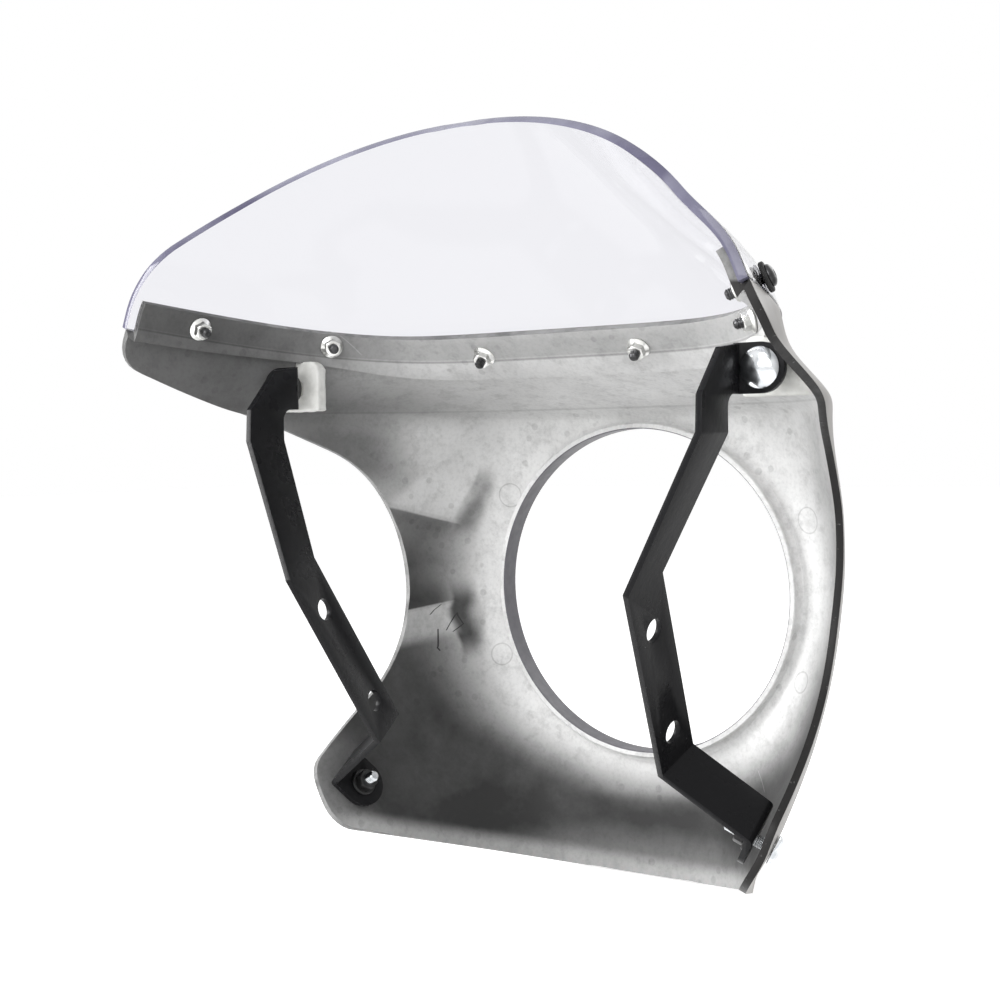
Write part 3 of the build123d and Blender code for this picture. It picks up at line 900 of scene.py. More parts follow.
def rounded_path(points: Sequence[Sequence[float]], radii: Sequence[float], spacing: float) -> np.ndarray:
    """Rounds the corners of a path and divides it evenly.

    Args:
        points: The path's corners.
        radii: One radius for each corner between the ends.
        spacing: Distance between the points of the result.

    Returns:
        Evenly spaced points along the path.
    """
    arc_steps = 16
    corners = [np.array(point, dtype=float) for point in points]
    path = [corners[0]]
    for before, corner, after, radius in zip(corners, corners[1:], corners[2:], radii):
        into = (before - corner) / np.linalg.norm(before - corner)
        out = (after - corner) / np.linalg.norm(after - corner)
        half = math.acos(float(np.clip(into.dot(out), -1.0, 1.0))) / 2
        run = radius / math.tan(half)
        middle = into + out
        centre = corner + middle / np.linalg.norm(middle) * radius / math.sin(half)
        start = corner + into * run - centre
        end = corner + out * run - centre
        for step in range(arc_steps + 1):
            arm = start * (1 - step / arc_steps) + end * step / arc_steps
            path.append(centre + arm / np.linalg.norm(arm) * radius)
    line = np.array(path + [corners[-1]])
    lengths = lengths_along(line)
    return divide(line, lengths, int(lengths[-1] / spacing) + 1)


def rim_depth(path: np.ndarray) -> Callable[[float], float]:
    """Returns the rule for a rim's depth at a height, from its side view."""
    depths, heights = path[np.argsort(path[:, 1])].T
    return lambda height: float(np.interp(height, heights, depths))


@dataclass(frozen=True)
class Skin:
    """The cowl's outer skin as a formula, in millimetres, with the lamp's centre at the origin.

    A station holds a height, the half width there and how square the section is.
    """

    nose: float = -12.0
    forehead_start: float = 101.0
    forehead_slope: float = 14.2
    forehead_round: float = 5.0
    screen_start: float = 119.5
    screen_slope: float = 48.2
    screen_round: float = 6.0
    chin_start: float = -110.0
    chin_tuck: float = 0.15
    chin_round: float = 12.0
    flank_depth: float = 134.0
    step_height: float = 117.0
    step_rise: float = 6.84
    stations: tuple[Triple, ...] = (
        (-172.0, 110.0, 3.7),
        (-130.0, 115.5, 3.8),
        (-100.0, 131.0, 4.2),
        (-60.0, 143.0, 5.8),
        (0.0, 145.5, 10.0),
        (40.0, 153.0, 7.6),
        (90.0, 159.5, 4.4),
        (124.0, 171.0, 4.3),
        (145.0, 168.0, 5.8),
        (160.0, 164.0, 5.1),
        (180.0, 151.0, 4.2),
        (205.0, 143.0, 3.1),
        (250.0, 143.0, 1.9),
    )

    def at_height(self, height: np.ndarray, column: int) -> np.ndarray:
        """Reads a station column on a smooth curve through the stations.

        Args:
            height: The heights that are asked for.
            column: Number of the column, 1 for half width or 2 for squareness.

        Returns:
            The column's values at those heights.
        """
        table = np.array(self.stations)
        levels, values = table[:, 0], table[:, column]
        slopes = np.empty_like(values)
        slopes[1:-1] = (values[2:] - values[:-2]) / (levels[2:] - levels[:-2])
        slopes[0] = (values[1] - values[0]) / (levels[1] - levels[0])
        slopes[-1] = (values[-1] - values[-2]) / (levels[-1] - levels[-2])
        index = np.clip(np.searchsorted(levels, height, side="right") - 1, 0, len(levels) - 2)
        span = levels[index + 1] - levels[index]
        t = (height - levels[index]) / span
        start = (2 * t**3 - 3 * t**2 + 1) * values[index] + (t**3 - 2 * t**2 + t) * span * slopes[index]
        end = (3 * t**2 - 2 * t**3) * values[index + 1] + (t**3 - t**2) * span * slopes[index + 1]
        return start + end

    def centre_line(self, height: np.ndarray) -> np.ndarray:
        """Works out the skin's Y on the centre plane.

        Args:
            height: The heights that are asked for.

        Returns:
            Y at those heights.
        """
        forehead_run = 1 / math.tan(math.radians(self.forehead_slope))
        screen_run = 1 / math.tan(math.radians(self.screen_slope))
        forehead = forehead_run * hinge(height - self.forehead_start, self.forehead_round)
        upright = (forehead_run - screen_run) * hinge(height - self.screen_start, self.screen_round)
        chin = self.chin_tuck * hinge(self.chin_start - height, self.chin_round)
        return self.nose + forehead - upright + chin

    def depth(self, x: np.ndarray, height: np.ndarray) -> np.ndarray:
        """Returns the skin's Y at some distances from the centre plane."""
        share = np.abs(x) / self.at_height(height, 1)
        return self.centre_line(height) + self.flank_depth * share ** self.at_height(height, 2)

    def breadth(self, y: np.ndarray, height: np.ndarray) -> np.ndarray:
        """Returns the skin's distance from the centre plane at some depths."""
        share = np.clip((y - self.centre_line(height)) / self.flank_depth, 0.0, None)
        return self.at_height(height, 1) * share ** (1 / self.at_height(height, 2))

    def inward(self, x: np.ndarray, height: np.ndarray) -> np.ndarray:
        """Works out the directions into the cowl.

        Args:
            x: Distances from the centre plane.
            height: The heights that go with them.

        Returns:
            One unit normal for each place.
        """
        probe = 0.1
        slope_x = (self.depth(x + probe, height) - self.depth(x - probe, height)) / (2 * probe)
        slope_z = (self.depth(x, height + probe) - self.depth(x, height - probe)) / (2 * probe)
        normals = np.stack([-slope_x, np.ones_like(slope_x), -slope_z], axis=-1)
        return normals / np.linalg.norm(normals, axis=-1, keepdims=True)

    def step(self, y: float) -> float:
        """Returns the height of the step that the screen stands on."""
        return self.step_height + y * math.tan(math.radians(self.step_rise))

    def seat(self, x: float, height: float) -> Seat:
        """Finds the seat on the outside of the skin.

        Args:
            x: Distance from the centre plane.
            height: Height of the seat.

        Returns:
            The seat.
        """
        place, level = np.array([x]), np.array([height])
        origin = Vector((x, float(self.depth(place, level)[0]), height))
        return Seat(origin, -Vector(self.inward(place, level)[0]))

    def flange_seat(self, x: float, above_step: float) -> Seat:
        """Finds the seat on the screen at a height above the step.

        Args:
            x: Distance from the centre plane.
            above_step: Height above the step.

        Returns:
            The seat.
        """
        y = height = 0.0
        for _ in range(SETTLING_ROUNDS):
            height = self.step(y) + above_step
            y = float(self.depth(np.array([x]), np.array([height]))[0])
        return self.seat(x, height)

    def row(
        self, level: float, tilt: float, rear: Callable[[float], float], columns: int, inset: float = 0.0
    ) -> np.ndarray:
        """Lays one row of points across the skin, from rim to rim.

        Args:
            level: Height of the row where the skin's Y is zero.
            tilt: Share of the step's rise that the row follows.
            rear: Depth of the rim at a height.
            columns: Number of points in the row.
            inset: Distance inwards from the skin.

        Returns:
            The points, evenly spaced along the row.
        """
        rise = tilt * math.tan(math.radians(self.step_rise))
        height = level
        for _ in range(SETTLING_ROUNDS):
            height = level + rise * rear(height)
        edge = float(self.breadth(np.array([rear(height)]), np.array([height]))[0])
        x = edge * np.sin(np.linspace(0.0, math.pi / 2, 400))
        z = np.full_like(x, level)
        for _ in range(SETTLING_ROUNDS):
            z = level + rise * self.depth(x, z)
        half = np.stack([x, self.depth(x, z), z], axis=1)
        x, _, z = divide(half, lengths_along(half), columns // 2 + 1).T
        points = np.stack([x, self.depth(x, z), z], axis=1) + inset * self.inward(x, z)
        mirrored = points[:0:-1] * np.array([-1.0, 1.0, 1.0])
        return np.concatenate([mirrored, points])

    def levels(self, path: np.ndarray, tilt: Callable[[float], float], spacing: float) -> list[float]:
        """Chooses the rows' levels so that they meet the rim evenly.

        Args:
            path: Side view of the rim, from its lowest point upwards.
            tilt: Share of the step's rise that a row at some level follows.
            spacing: Distance between rows along the rim.

        Returns:
            The levels, lowest first.
        """
        closest = 0.2
        lengths = lengths_along(np.column_stack([self.breadth(path[:, 0], path[:, 1]), path]))
        rise = math.tan(math.radians(self.step_rise))
        levels: list[float] = []
        for y, z in divide(path, lengths, int(lengths[-1] / spacing) + 1):
            level = float(z)
            for _ in range(SETTLING_ROUNDS):
                level = (level + z - rise * tilt(level) * y) / 2
            if not levels or level > levels[-1] + closest:
                levels.append(level)
        return levels


def sheet(name: str, rows: Sequence[np.ndarray]) -> Piece:
    """Shapes a grid so that its points follow some rows.

    Args:
        name: Name of the sheet.
        rows: Points of each row, in millimetres.

    Returns:
        The sheet.
    """
    Bench.clear()
    bpy.ops.mesh.primitive_grid_add(x_subdivisions=len(rows[0]) - 1, y_subdivisions=len(rows) - 1, size=1.0)
    piece = bpy.context.object
    piece.name = name
    piece.data.name = name
    piece.data.vertices.foreach_set("co", (np.concatenate(rows) * MM).ravel())
    piece.data.update()
    return piece


@dataclass
class CowlShell:
    """Thin moulding with a lamp opening, fork notches, a chin and a set-back flange for the screen.

    Places in the side view are a depth and a height. A dent has its height and its reach up and down.
    """

    skin: Skin
    wall: float = 3.5
    columns: int = 150
    spacing: float = 3.6
    path_spacing: float = 0.5
    tilt_start: float = 60.0
    tilt_run: float = 40.0
    notch_centre: Pair = (115.5, 8.0)
    notch_radius: float = 78.0
    notch_turn: Pair = (-2.159, -4.306)
    chin_front: Pair = (-32.0, -166.78)
    chin_rear: float = 121.0
    chin_ends: Pair = (-120.0, -89.5)
    chin_round: float = 14.0
    wing_knee: Pair = (125.0, 97.0)
    wing_rear: float = 212.5
    wing_foot: float = 125.43
    wing_rounds: Pair = (60.0, 18.0)
    bore: float = 89.0
    sides: int = 144
    lip_wall: float = 3.2
    lip_fillet: float = 4.0
    lip_base: float = -7.2
    lip_ease: float = 0.5
    lip_inside: float = -8.5
    bezel_front: float = -12.8
    bezel_ease: float = 0.4
    bezel_round: float = 1.5
    flange_inset: float = 4.15
    flange_height: float = 15.5
    flange_rear: float = 210.5
    flange_rows: int = 6
    hole_radius: float = 2.9
    edge: float = 0.9
    dents: tuple[Triple, ...] = ((44.0, 19.0, 5.0), (-18.0, 5.0, 14.0))
    dent_depth: float = 4.5
    dent_round: float = 4.0
    dent_start: float = 105.0
    dent_run: float = 9.0
    dent_tail: float = 124.0
    dent_tail_run: float = 14.0
    dent_tail_loss: float = 0.6
    dent_push: Triple = (-0.62, 0.78, 0.0)

    def outline(self) -> np.ndarray:
        """Returns the side view of the rim, from the bottom of the chin to the end of the wing."""
        turns = np.linspace(*self.notch_turn, 33)
        arms = np.stack([np.cos(turns), np.sin(turns)], axis=1)
        notch = np.array(self.notch_centre) + self.notch_radius * arms
        rear = [(self.chin_rear, height) for height in self.chin_ends]
        chin = rounded_path([self.chin_front, *rear, notch[0]], [self.chin_round] * 2, self.path_spacing)
        ends = (self.wing_foot, self.skin.step(self.wing_rear) + self.path_spacing)
        rear = [(self.wing_rear, height) for height in ends]
        wing = rounded_path([notch[-1], self.wing_knee, *rear], self.wing_rounds, self.path_spacing)
        path = np.concatenate([chin, notch[1:-1], wing])
        return path[path[:, 0] > self.skin.centre_line(path[:, 1]) + 0.4]

    def tilt(self, level: float) -> float:
        """Returns the share of the step's rise that a row follows."""
        return float(ease(np.array((level - self.tilt_start) / self.tilt_run)))

    def rows(self) -> list[np.ndarray]:
        """Returns the rows of the outer skin, the step and the flange."""
        path = self.outline()
        rear, step = rim_depth(path), self.skin.step_height
        levels = [h for h in self.skin.levels(path, self.tilt, self.spacing) if h < step - 1.0] + [step]
        rows = [self.skin.row(level, self.tilt(level), rear, self.columns) for level in levels]
        for level in np.linspace(step, step + self.flange_height, self.flange_rows):
            flange = self.skin.row(
                float(level), 1.0, lambda _: self.flange_rear, self.columns, self.flange_inset
            )
            rows.append(flange)
        return rows

    def dent(self, rows: list[np.ndarray]) -> None:
        """Presses the two wedge-shaped dents into the left flank, each with a steep and a gentle side.

        Args:
            rows: The shell's rows, which are changed.
        """
        for height, above, below in self.dents:
            for row in rows:
                rise = row[:, 2] - height
                away = np.hypot(rise, self.dent_round) - self.dent_round
                wedge = np.clip(1.0 - away / np.where(rise > 0.0, above, below), 0.0, 1.0)
                tip = ease((row[:, 0] - self.dent_start) / self.dent_run)
                tail = 1.0 - self.dent_tail_loss * ease((row[:, 0] - self.dent_tail) / self.dent_tail_run)
                row += (self.dent_depth * wedge * (tip * tail))[:, None] * np.array(self.dent_push)

    def lip(self, materials: Sequence[Material]) -> Piece:
        """Turns the lip and the bezel round the lamp opening.

        Args:
            materials: The shell's finishes.

        Returns:
            The ring, with its faces' finishes chosen.
        """
        outer = self.bore + self.lip_wall
        base = outer + self.lip_fillet
        profile = [(base, self.bezel_front + self.bezel_ease), (base, self.lip_base)]
        for step in range(1, 8):
            turn = math.pi / 2 * step / 7
            across = self.lip_fillet * (1 - math.sin(turn))
            profile.append((outer + across, self.lip_base + self.lip_fillet * (1 - math.cos(turn))))
        profile += [(outer, -self.lip_ease), (outer - self.lip_ease, 0.0)]
        profile += [(self.bore + self.lip_ease, 0.0), (self.bore, -self.lip_ease)]
        for step in range(5):
            turn = math.pi / 2 * step / 4
            across = self.bezel_round * (1 - math.cos(turn))
            profile.append((self.bore + across, self.bezel_front + self.bezel_round * (1 - math.sin(turn))))
        profile.append((base - self.bezel_ease, self.bezel_front))
        ring = Bench.lathe("lip", profile, self.sides, ring=True)
        ring.data.transform(LAMP_AXIS.matrix())
        Bench.dress(ring, *materials)
        for face in ring.data.polygons:
            radial = Vector((face.center.x, 0.0, face.center.z)).normalized().dot(face.normal)
            if radial < -0.5:
                face.material_index = ShellFace.BORE
            elif face.center.y > self.lip_inside * MM:
                face.material_index = ShellFace.INSIDE
        return ring

    def build(self, holes: Sequence[Seat], materials: Sequence[Material]) -> None:
        """Builds the shell.

        Args:
            holes: Seats of the holes through the flange and the chin.
            materials: The outside, inside, rim and lamp bore finishes.
        """
        rows = self.rows()
        self.dent(rows)
        shell = sheet("cowl_moulding", rows)
        Bench.dress(shell, *materials)
        Bench.thicken(shell, self.wall, ShellFace.INSIDE, ShellFace.RIM)
        Bench.cut(shell, Bench.rod(self.bore + self.lip_wall / 2, 60.0, self.sides, LAMP_AXIS))
        Bench.drill(shell, self.hole_radius, holes)
        Bench.bevel(shell, self.edge, 55.0, material=ShellFace.OUTSIDE)
        Bench.join(shell.name, [shell, self.lip(materials)])
        Bench.smooth(shell, 40.0)
        Bench.fit(shell, "shell", "cowl_shell")


@dataclass
class Windscreen:
    """Clear screen that stands on the step, swept back to a point over the lamp."""

    skin: Skin
    wall: float = 4.0
    columns: int = 130
    spacing: float = 3.6
    path_spacing: float = 0.25
    tilt_start: float = 122.0
    tilt_run: float = 50.0
    gap: float = 0.3
    rear: float = 214.6
    corner: float = 175.5
    corner_round: float = 20.0
    sweep: float = 74.5
    hole_radius: float = 2.75
    edge: float = 0.7

    def tilt(self, level: float) -> float:
        """Returns the share of the step's rise that a row follows."""
        return float(1.0 - ease(np.array((level - self.tilt_start) / self.tilt_run)))

    def outline(self) -> np.ndarray:
        """Returns the side view of the rim, from the step to the top."""
        foot = self.skin.step(self.rear) + self.gap - 1.0
        top = (self.rear - self.sweep, self.corner + self.sweep)
        corners = [(self.rear, foot), (self.rear, self.corner), top]
        path = rounded_path(corners, [self.corner_round], self.path_spacing)
        return path[path[:, 0] > self.skin.centre_line(path[:, 1]) + 0.05]

    def build(self, holes: Sequence[Seat], materials: Sequence[Material]) -> None:
        """Builds the screen.

        Args:
            holes: Seats of its screw holes.
            materials: The clear and edge finishes, and the painted highlight on the bevels.
        """
        path = self.outline()
        rear, start = rim_depth(path), self.skin.step_height + self.gap
        levels = [start] + [h for h in self.skin.levels(path, self.tilt, self.spacing) if h > start + 1.0]
        rows = [self.skin.row(level, self.tilt(level), rear, self.columns) for level in levels]
        screen = sheet("clear_screen", rows)
        Bench.dress(screen, *materials)
        Bench.thicken(screen, self.wall, ScreenFace.CLEAR, ScreenFace.EDGE)
        Bench.drill(screen, self.hole_radius, holes)
        Bench.bevel(screen, self.edge, 55.0, material=ScreenFace.BEVEL)
        Bench.smooth(screen, 40.0)
        Bench.fit(screen, "screen", "windscreen")


@dataclass(frozen=True)
class SocketScrew:
    """A domed screw that points down from the seat under its head, with a hexagon socket if it has a key."""

    head: float
    height: float
    shank: float
    key: float = 0.0
    pitch: float = 1.0
    thread_depth: float = 0.38
    plain: float = 3.0
    point: float = 0.5

    def thread(self, start: float, end: float) -> list[Pair]:
        """Works out the profile of a threaded length.

        Args:
            start: Height of its start.
            end: Height of its end.

        Returns:
            Radius and height of each step, from the start to the end.
        """
        crest, root = self.shank / 2, self.shank / 2 - self.thread_depth
        turns = max(2, int(abs(end - start) / self.pitch))
        step = (end - start) / turns
        points = []
        for turn in range(turns):
            points += [(root, start + step * turn), (crest, start + step * (turn + 0.5))]
        return points + [(root, end)]

    def make(self, length: float) -> Piece:
        """Models the screw.

        Args:
            length: Length under its head, in millimetres.

        Returns:
            The finished screw.
        """
        radius, rim, neck = self.shank / 2, self.head / 2, self.shank / 2 - 0.05
        profile = [(radius - 2 * self.point, -length), (radius - self.point, self.point - length)]
        profile += reversed(self.thread(-self.plain, self.point + 0.1 - length))
        profile += [(neck, 0.4 - self.plain), (neck, 0.0), (rim - 0.2, 0.0), (rim, 0.25)]
        for step in range(8):
            turn = math.pi / 2 * step / 8
            profile.append((rim * math.cos(turn), self.height * 0.2 + self.height * 0.8 * math.sin(turn)))
        profile.append((rim * 0.16, self.height))
        screw = Bench.lathe("screw", profile, 32)
        if self.key:
            corner = self.key / 2 / math.cos(math.pi / 6)
            Bench.cut(screw, Bench.rod(corner, 3.2, 6, Seat.up(self.height)))
        Bench.bevel(screw, 0.15, 60.0, segments=1)
        Bench.smooth(screw, 40.0)
        return screw


@dataclass(frozen=True)
class Washer:
    """A washer or spacer with eased edges that stands on its seat, as thick as its CAD node if not given."""

    outside: float
    inside: float
    thickness: float = 0.0

    def make(self, length: float) -> Piece:
        """Models the washer.

        Args:
            length: Thickness of its CAD node, in millimetres.

        Returns:
            The finished washer.
        """
        top, inner, outer = self.thickness or length, self.inside / 2, self.outside / 2
        edge = min(0.35, top / 4)
        profile = [(inner, edge), (inner + edge, 0.0), (outer - edge, 0.0), (outer, edge)]
        profile += [(outer, top - edge), (outer - edge, top), (inner + edge, top), (inner, top - edge)]
        washer = Bench.lathe("washer", profile, 40, ring=True)
        Bench.smooth(washer, 50.0)
        return washer


@dataclass(frozen=True)
class Nut:
    """A chamfered nut that stands on its seat, as high as its CAD node if not given."""

    flats: float
    bore: float
    height: float = 0.0
    flange: float = 0.0
    flange_height: float = 0.0

    def make(self, length: float) -> Piece:
        """Models the nut.

        Args:
            length: Height of its CAD node, in millimetres.

        Returns:
            The finished nut.
        """
        top, corner, sides = self.height or length, self.flats / math.sqrt(3.0), 48
        nut = Bench.rod(corner, top, 6, Seat.up(top / 2))
        wide = corner * 1.02
        chamfer = [(corner * 0.86, 0.0), (wide, 0.6), (wide, top - 0.8), (corner * 0.84, top)]
        Bench.cut(nut, Bench.lathe("chamfer", chamfer, sides), "INTERSECT")
        if self.flange:
            rim, shoulder = self.flange / 2, self.flats / 2 * 0.9
            skirt = [(rim, 0.0), (rim, self.flange_height * 0.6), (shoulder, self.flange_height + 0.9)]
            Bench.cut(nut, Bench.lathe("skirt", skirt, sides), "UNION")
        Bench.cut(nut, Bench.rod(self.bore / 2, top * 3, 32, Seat.up(0.0)))
        Bench.bevel(nut, 0.18, 30.0)
        Bench.smooth(nut, 40.0)
        return nut


@dataclass(frozen=True)
class Fitting:
    """One kind of fastener with the CAD node that it stands in for, its finish and its left seats."""

    piece: str
    node: str
    slot: str
    finish: Material
    fastener: SocketScrew | Washer | Nut
    stand: Stand
    seats: Sequence[Seat]
    reach: float

    def build(self, side: Side, nodes: dict[str, Piece]) -> None:
        """Builds the fasteners of one side, each in the span of its CAD node.

        Args:
            side: The side.
            nodes: The frame's CAD nodes by name.
        """
        node = side.named(self.node)
        placed = []
        for left in self.seats:
            seat = left.on(side)
            low, high = seat.span(nodes[node], self.reach)
            if self.stand is Stand.HANGING:
                high -= self.fastener.height
            fastener = self.fastener.make(high - low)
            seat = seat.moved(low if self.stand is Stand.UPRIGHT else high)
            if self.stand is Stand.TURNED:
                seat = seat.turned()
            Bench.dress(fastener, self.finish)
            fastener.data.transform(seat.matrix())
            placed.append(fastener)
        Bench.fit(Bench.join(side.named(self.piece), placed), self.slot, node)


@dataclass
class ScreenFixings:
    """Three screws a side that hold the screen to the flange, each with a washer and a flanged nut."""

    skin: Skin
    across: Triple = (46.0, 128.0, 157.5)
    above_step: float = 7.75
    reach: float = 24.0
    screw: SocketScrew = SocketScrew(head=9.5, height=2.8, shank=5.0, key=3.0)
    washer: Washer = Washer(outside=13.0, inside=5.5, thickness=2.0)
    nut: Nut = Nut(flats=8.0, bore=4.6, height=5.0, flange=11.8, flange_height=1.2)

    def seats(self) -> list[Seat]:
        """Returns the left seats on the outside of the screen."""
        return [self.skin.flange_seat(x, self.above_step) for x in self.across]

    def holes(self) -> list[Seat]:
        """Returns the seats of all the holes, left and right."""
        return [seat.on(side) for side in Side for seat in self.seats()]

    def build(self, nodes: dict[str, Piece], black: Material, rubber: Material, zinc: Material) -> None:
        """Builds the screws, washers and nuts on both sides.

        Args:
            nodes: The frame's CAD nodes by name.
            black: Finish of the screws.
            rubber: Finish of the washers.
            zinc: Finish of the nuts.
        """
        kinds = (
            ("button_screws", "screen_screws", "black_steel", black, self.screw, Stand.HANGING),
            ("sealing_washers", "screen_washers", "rubber", rubber, self.washer, Stand.UPRIGHT),
            ("flange_nuts", "screen_nuts", "zinc", zinc, self.nut, Stand.TURNED),
        )
        seats = self.seats()
        for side in Side:
            for kind in kinds:
                Fitting(*kind, seats, self.reach).build(side, nodes)


@dataclass
class ForkBrackets:
    """Folded flat bars that reach from the wings past the forks to the chin."""

    edge: float = 0.4
    worn_glint_number: int = 1

    def build(self, nodes: dict[str, Piece], black: Material, worn_and_glinting: Material) -> None:
        """Builds both brackets with eased edges, lightly worn and lightened as a painted highlight.

        Args:
            nodes: The frame's CAD nodes by name.
            black: Finish of the bars.
            worn_and_glinting: Finish of their edges, with chips of wear and a lighter black as a painted
                highlight.
        """
        for side in Side:
            node = side.named("bracket")
            bar = Bench.node_copy(side.named("fork_bar"), nodes[node])
            Bench.dress(bar, black, worn_and_glinting)
            Bench.bevel(bar, self.edge, 40.0, material=self.worn_glint_number)
            Bench.smooth(bar, 35.0)
            Bench.fit(bar, "bracket", node)


@dataclass
class Mounts:
    """Bolts, spacers, washers, nuts and bonded pads that join the brackets to the shell."""

    skin: Skin
    chin_y: float = 100.0
    chin_z: float = -104.0
    chin_reach: float = 60.0
    tab_x: float = 136.7
    tab_z: float = 112.9
    tab_reach: float = 300.0
    dome_bolt: SocketScrew = SocketScrew(head=18.4, height=4.6, shank=6.0)
    spacer: Washer = Washer(outside=17.0, inside=6.4)
    chin_bolt: SocketScrew = SocketScrew(head=14.0, height=3.4, shank=6.0)
    chin_washer: Washer = Washer(outside=14.0, inside=6.4)
    nut: Nut = Nut(flats=10.0, bore=5.6)
    pad_grain: float = 0.9
    pad_waves: Pair = (420.0, 130.0)
    pad_rough: float = 0.28
    pad_seed: int = 7

    def chin_seat(self) -> Seat:
        """Returns the left seat on the outside of the chin."""
        x = float(self.skin.breadth(np.array([self.chin_y]), np.array([self.chin_z]))[0])
        return self.skin.seat(x, self.chin_z)

    def tab_seat(self) -> Seat:
        """Returns the left seat on the axis of the upper bolt, pointing to the rear."""
        return Seat(Vector((self.tab_x, 0.0, self.tab_z)), LAMP_AXIS.normal)

    def pad(self, side: Side, nodes: dict[str, Piece], resin: Material) -> None:
        """Builds a bonded pad with ragged edges.

        Args:
            side: The pad's side.
            nodes: The frame's CAD nodes by name.
            resin: Finish of the pad.
        """
        node = side.named("mount_pad")
        pad = Bench.node_copy(side.named("bonded_pad"), nodes[node])
        Bench.modify(pad, "REMESH", mode="VOXEL", voxel_size=self.pad_grain * MM)
        noise.seed_set(self.pad_seed)
        fine, coarse = self.pad_waves
        for vertex in pad.data.vertices:
            wave = noise.noise_vector(vertex.co * fine) + noise.noise_vector(vertex.co * coarse)
            vertex.co += wave * self.pad_rough * MM
        Bench.modify(pad, "SMOOTH", factor=0.5, iterations=2)
        Bench.dress(pad, resin)
        Bench.smooth(pad, 60.0)
        Bench.fit(pad, "resin", node)

    def build(
        self, nodes: dict[str, Piece], bright: Material, zinc: Material, black: Material, resin: Material
    ) -> None:
        """Builds the upper and lower mounts on both sides.

        Args:
            nodes: The frame's CAD nodes by name.
            bright: Finish of the bolts.
            zinc: Finish of the upper nuts.
            black: Finish of the spacers, washers and lower nuts.
            resin: Finish of the pads.
        """
        upper = (
            ("dome_bolt", "upper_bolt", "bright_steel", bright, self.dome_bolt, Stand.HANGING),
            ("spacer", "upper_spacer", "black_steel", black, self.spacer, Stand.UPRIGHT),
            ("tab_nut", "upper_nut", "zinc", zinc, self.nut, Stand.UPRIGHT),
        )
        lower = (
            ("chin_bolt", "lower_bolt", "bright_steel", bright, self.chin_bolt, Stand.HANGING),
            ("chin_washer", "lower_washer", "black_steel", black, self.chin_washer, Stand.UPRIGHT),
            ("chin_nut", "lower_nut", "black_steel", black, self.nut, Stand.TURNED),
        )
        for side in Side:
            self.pad(side, nodes, resin)
            for kind in upper:
                Fitting(*kind, [self.tab_seat()], self.tab_reach).build(side, nodes)
            for kind in lower:
                Fitting(*kind, [self.chin_seat()], self.chin_reach).build(side, nodes)


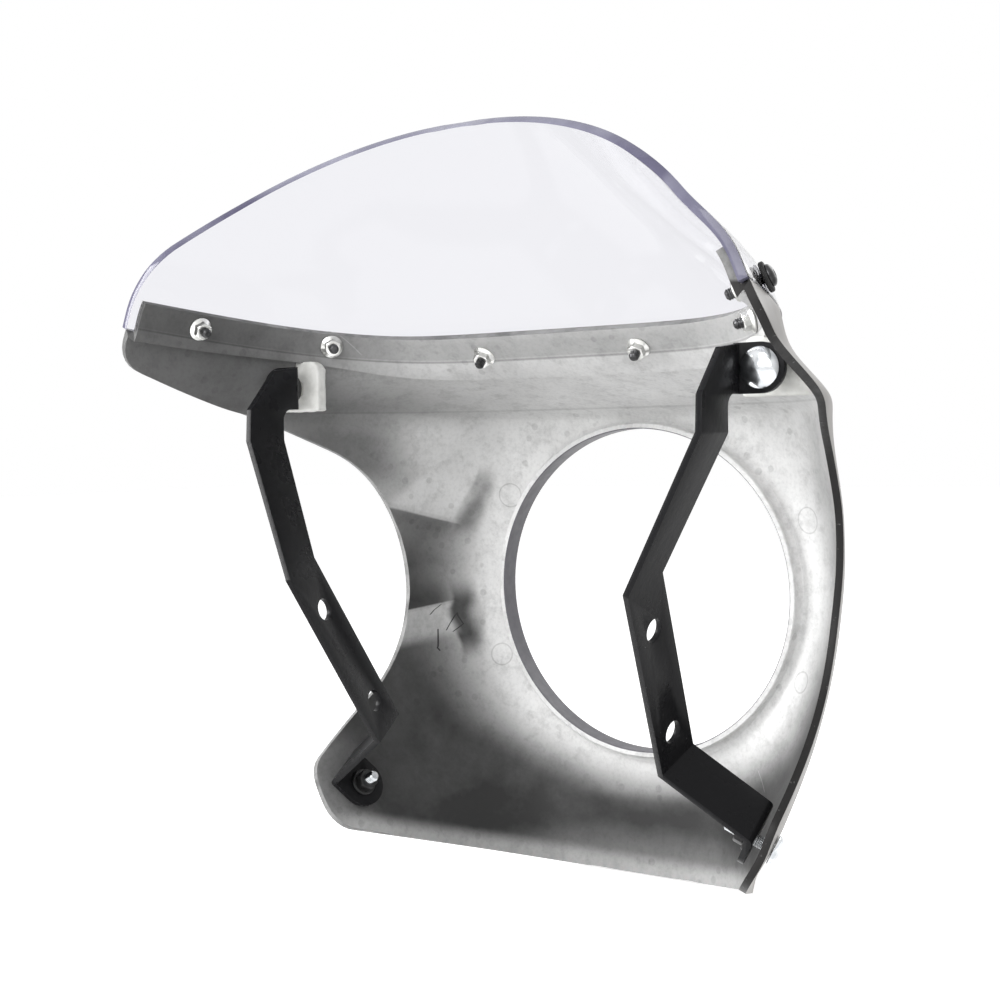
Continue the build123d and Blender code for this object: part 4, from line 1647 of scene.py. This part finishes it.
@dataclass
class Studio:
    """Camera at the photograph's angle, pale floor, white surround and soft lamps."""

    azimuth: float = 214.26
    elevation: float = 2.2
    roll: float = -1.04
    position: Triple = (-416.6, 745.2, 83.9)
    lens: float = 55.85
    floor: float = -158.45
    floor_size: float = 12.0
    floor_glow: float = 0.72
    ambient: float = 0.30

    def camera(self) -> None:
        """Places the camera."""
        turn, tip, lean = (math.radians(v) for v in (self.azimuth, 90.0 - self.elevation, self.roll))
        aim = Matrix.Rotation(turn, 4, "Z") @ Matrix.Rotation(tip, 4, "X") @ Matrix.Rotation(lean, 4, "Z")
        lens = bpy.data.cameras.new("camera")
        lens.lens = self.lens
        lens.sensor_width = 36.0
        lens.sensor_fit = "HORIZONTAL"
        lens.clip_start = 0.01
        camera = bpy.data.objects.new("camera", lens)
        camera.matrix_world = Matrix.Translation(Vector(self.position) * MM) @ aim
        bpy.context.collection.objects.link(camera)
        bpy.context.scene.camera = camera

    def surround(self) -> None:
        """Makes the world white where it is seen and a plain soft light elsewhere."""
        world = bpy.data.worlds.new("surround")
        bpy.context.scene.world = world
        world.use_nodes = True
        nodes = Nodes(world.node_tree)
        light = world.node_tree.nodes["Background"]
        nodes.feed(light.inputs["Color"], (1.0, 1.0, 1.0, 1.0))
        nodes.feed(light.inputs["Strength"], nodes.seen().ramp(0.0, 1.0, self.ambient, 1.0))

    def ground(self) -> None:
        """Lays the pale floor, which keeps the shadow."""
        Bench.clear()
        bpy.ops.mesh.primitive_plane_add(size=self.floor_size, location=(0.0, 0.0, self.floor * MM))
        floor = bpy.context.object
        floor.name = "floor"
        paint = Painter("floor_white")
        paint.set(Base_Color=(0.85, 0.85, 0.85, 1.0), Roughness=0.9)
        paint.set(Emission_Color=(1.0, 1.0, 1.0, 1.0), Emission_Strength=paint.seen() * self.floor_glow)
        Bench.dress(floor, paint.material)

    @staticmethod
    def lamp(name: str, place: Triple, aim: Triple, size: float, power: float) -> None:
        """Hangs a square soft lamp.

        Args:
            name: Name of the lamp.
            place: Where it hangs, in metres.
            aim: The point that it faces, in metres.
            size: Length of its sides, in metres.
            power: Its power in watts.
        """
        data = bpy.data.lights.new(name, "AREA")
        data.size = size
        data.energy = power
        lamp = bpy.data.objects.new(name, data)
        lamp.location = place
        lamp.rotation_euler = (Vector(place) - Vector(aim)).to_track_quat("Z", "Y").to_euler()
        bpy.context.collection.objects.link(lamp)

    def build(self) -> None:
        """Builds the whole studio."""
        bpy.context.scene.view_settings.view_transform = "Standard"
        self.camera()
        self.surround()
        self.ground()
        self.lamp("key", (1.20, 0.95, 0.45), (-0.08, 0.02, 0.02), size=0.8, power=25.0)
        self.lamp("fill", (-0.25, 1.5, 0.75), (0.0, 0.1, 0.0), size=1.0, power=15.0)
        self.lamp("front", (-0.3, -1.2, 0.9), (0.0, 0.0, 0.0), size=1.0, power=5.0)


def main() -> None:
    """Builds the cowl's pieces in order, then the studio."""
    logging.basicConfig(level=logging.INFO, format="%(name)s %(message)s")
    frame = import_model()
    nodes = frame["nodes"]
    Bench.clear()
    inside, outside, rim = ShellInside().material(), ShellOutside().material(), ShellRim().material()
    clear, edge = ClearScreen().material(), ScreenEdge().material()
    black = GlossBlack("bar_black").material()
    # Bar edges: chips of wear, and a lighter black as a painted highlight along them.
    worn_and_glinting = GlossBlack("bar_edge", (0.035, 0.035, 0.036), (0.40, 0.40, 0.40), 0.30).material()
    oxide = Metal("black_oxide", (0.035, 0.035, 0.036), (0.012, 0.012, 0.012), 0.36, 0.5).material()
    screw = Metal("screw_black", (0.085, 0.085, 0.088), (0.02, 0.02, 0.02), 0.22, 0.85).material()
    zinc = Metal("zinc_plate", (0.80, 0.80, 0.78), (0.52, 0.52, 0.50), 0.22).material()
    bright = Metal("bright_steel", (0.78, 0.80, 0.82), (0.46, 0.48, 0.50), 0.12).material()
    bore = Matte("lamp_bore", (0.150, 0.146, 0.162), (0.125, 0.122, 0.138), 0.40).material()
    # Painted highlight: a near-white matte on the screen's bevels stands in for the glints along its edges.
    glint = Matte("screen_bevel_glint", (0.86, 0.86, 0.88), (0.72, 0.72, 0.76), 0.10).material()
    rubber = Matte("black_rubber", (0.020, 0.020, 0.020), (0.008, 0.008, 0.008), 0.62).material()
    resin = Matte("white_resin", (0.82, 0.82, 0.79), (0.70, 0.70, 0.67), 0.50).material()

    skin = Skin()
    fixings = ScreenFixings(skin)
    mounts = Mounts(skin)
    chin_holes = [mounts.chin_seat().on(side) for side in Side]
    CowlShell(skin).build(fixings.holes() + chin_holes, (outside, inside, rim, bore))
    Windscreen(skin).build(fixings.holes(), (clear, edge, glint))
    fixings.build(nodes, screw, rubber, zinc)
    ForkBrackets().build(nodes, black, worn_and_glinting)
    mounts.build(nodes, bright, zinc, oxide, resin)
    Studio().build()


if __name__ == "__main__":
    main()
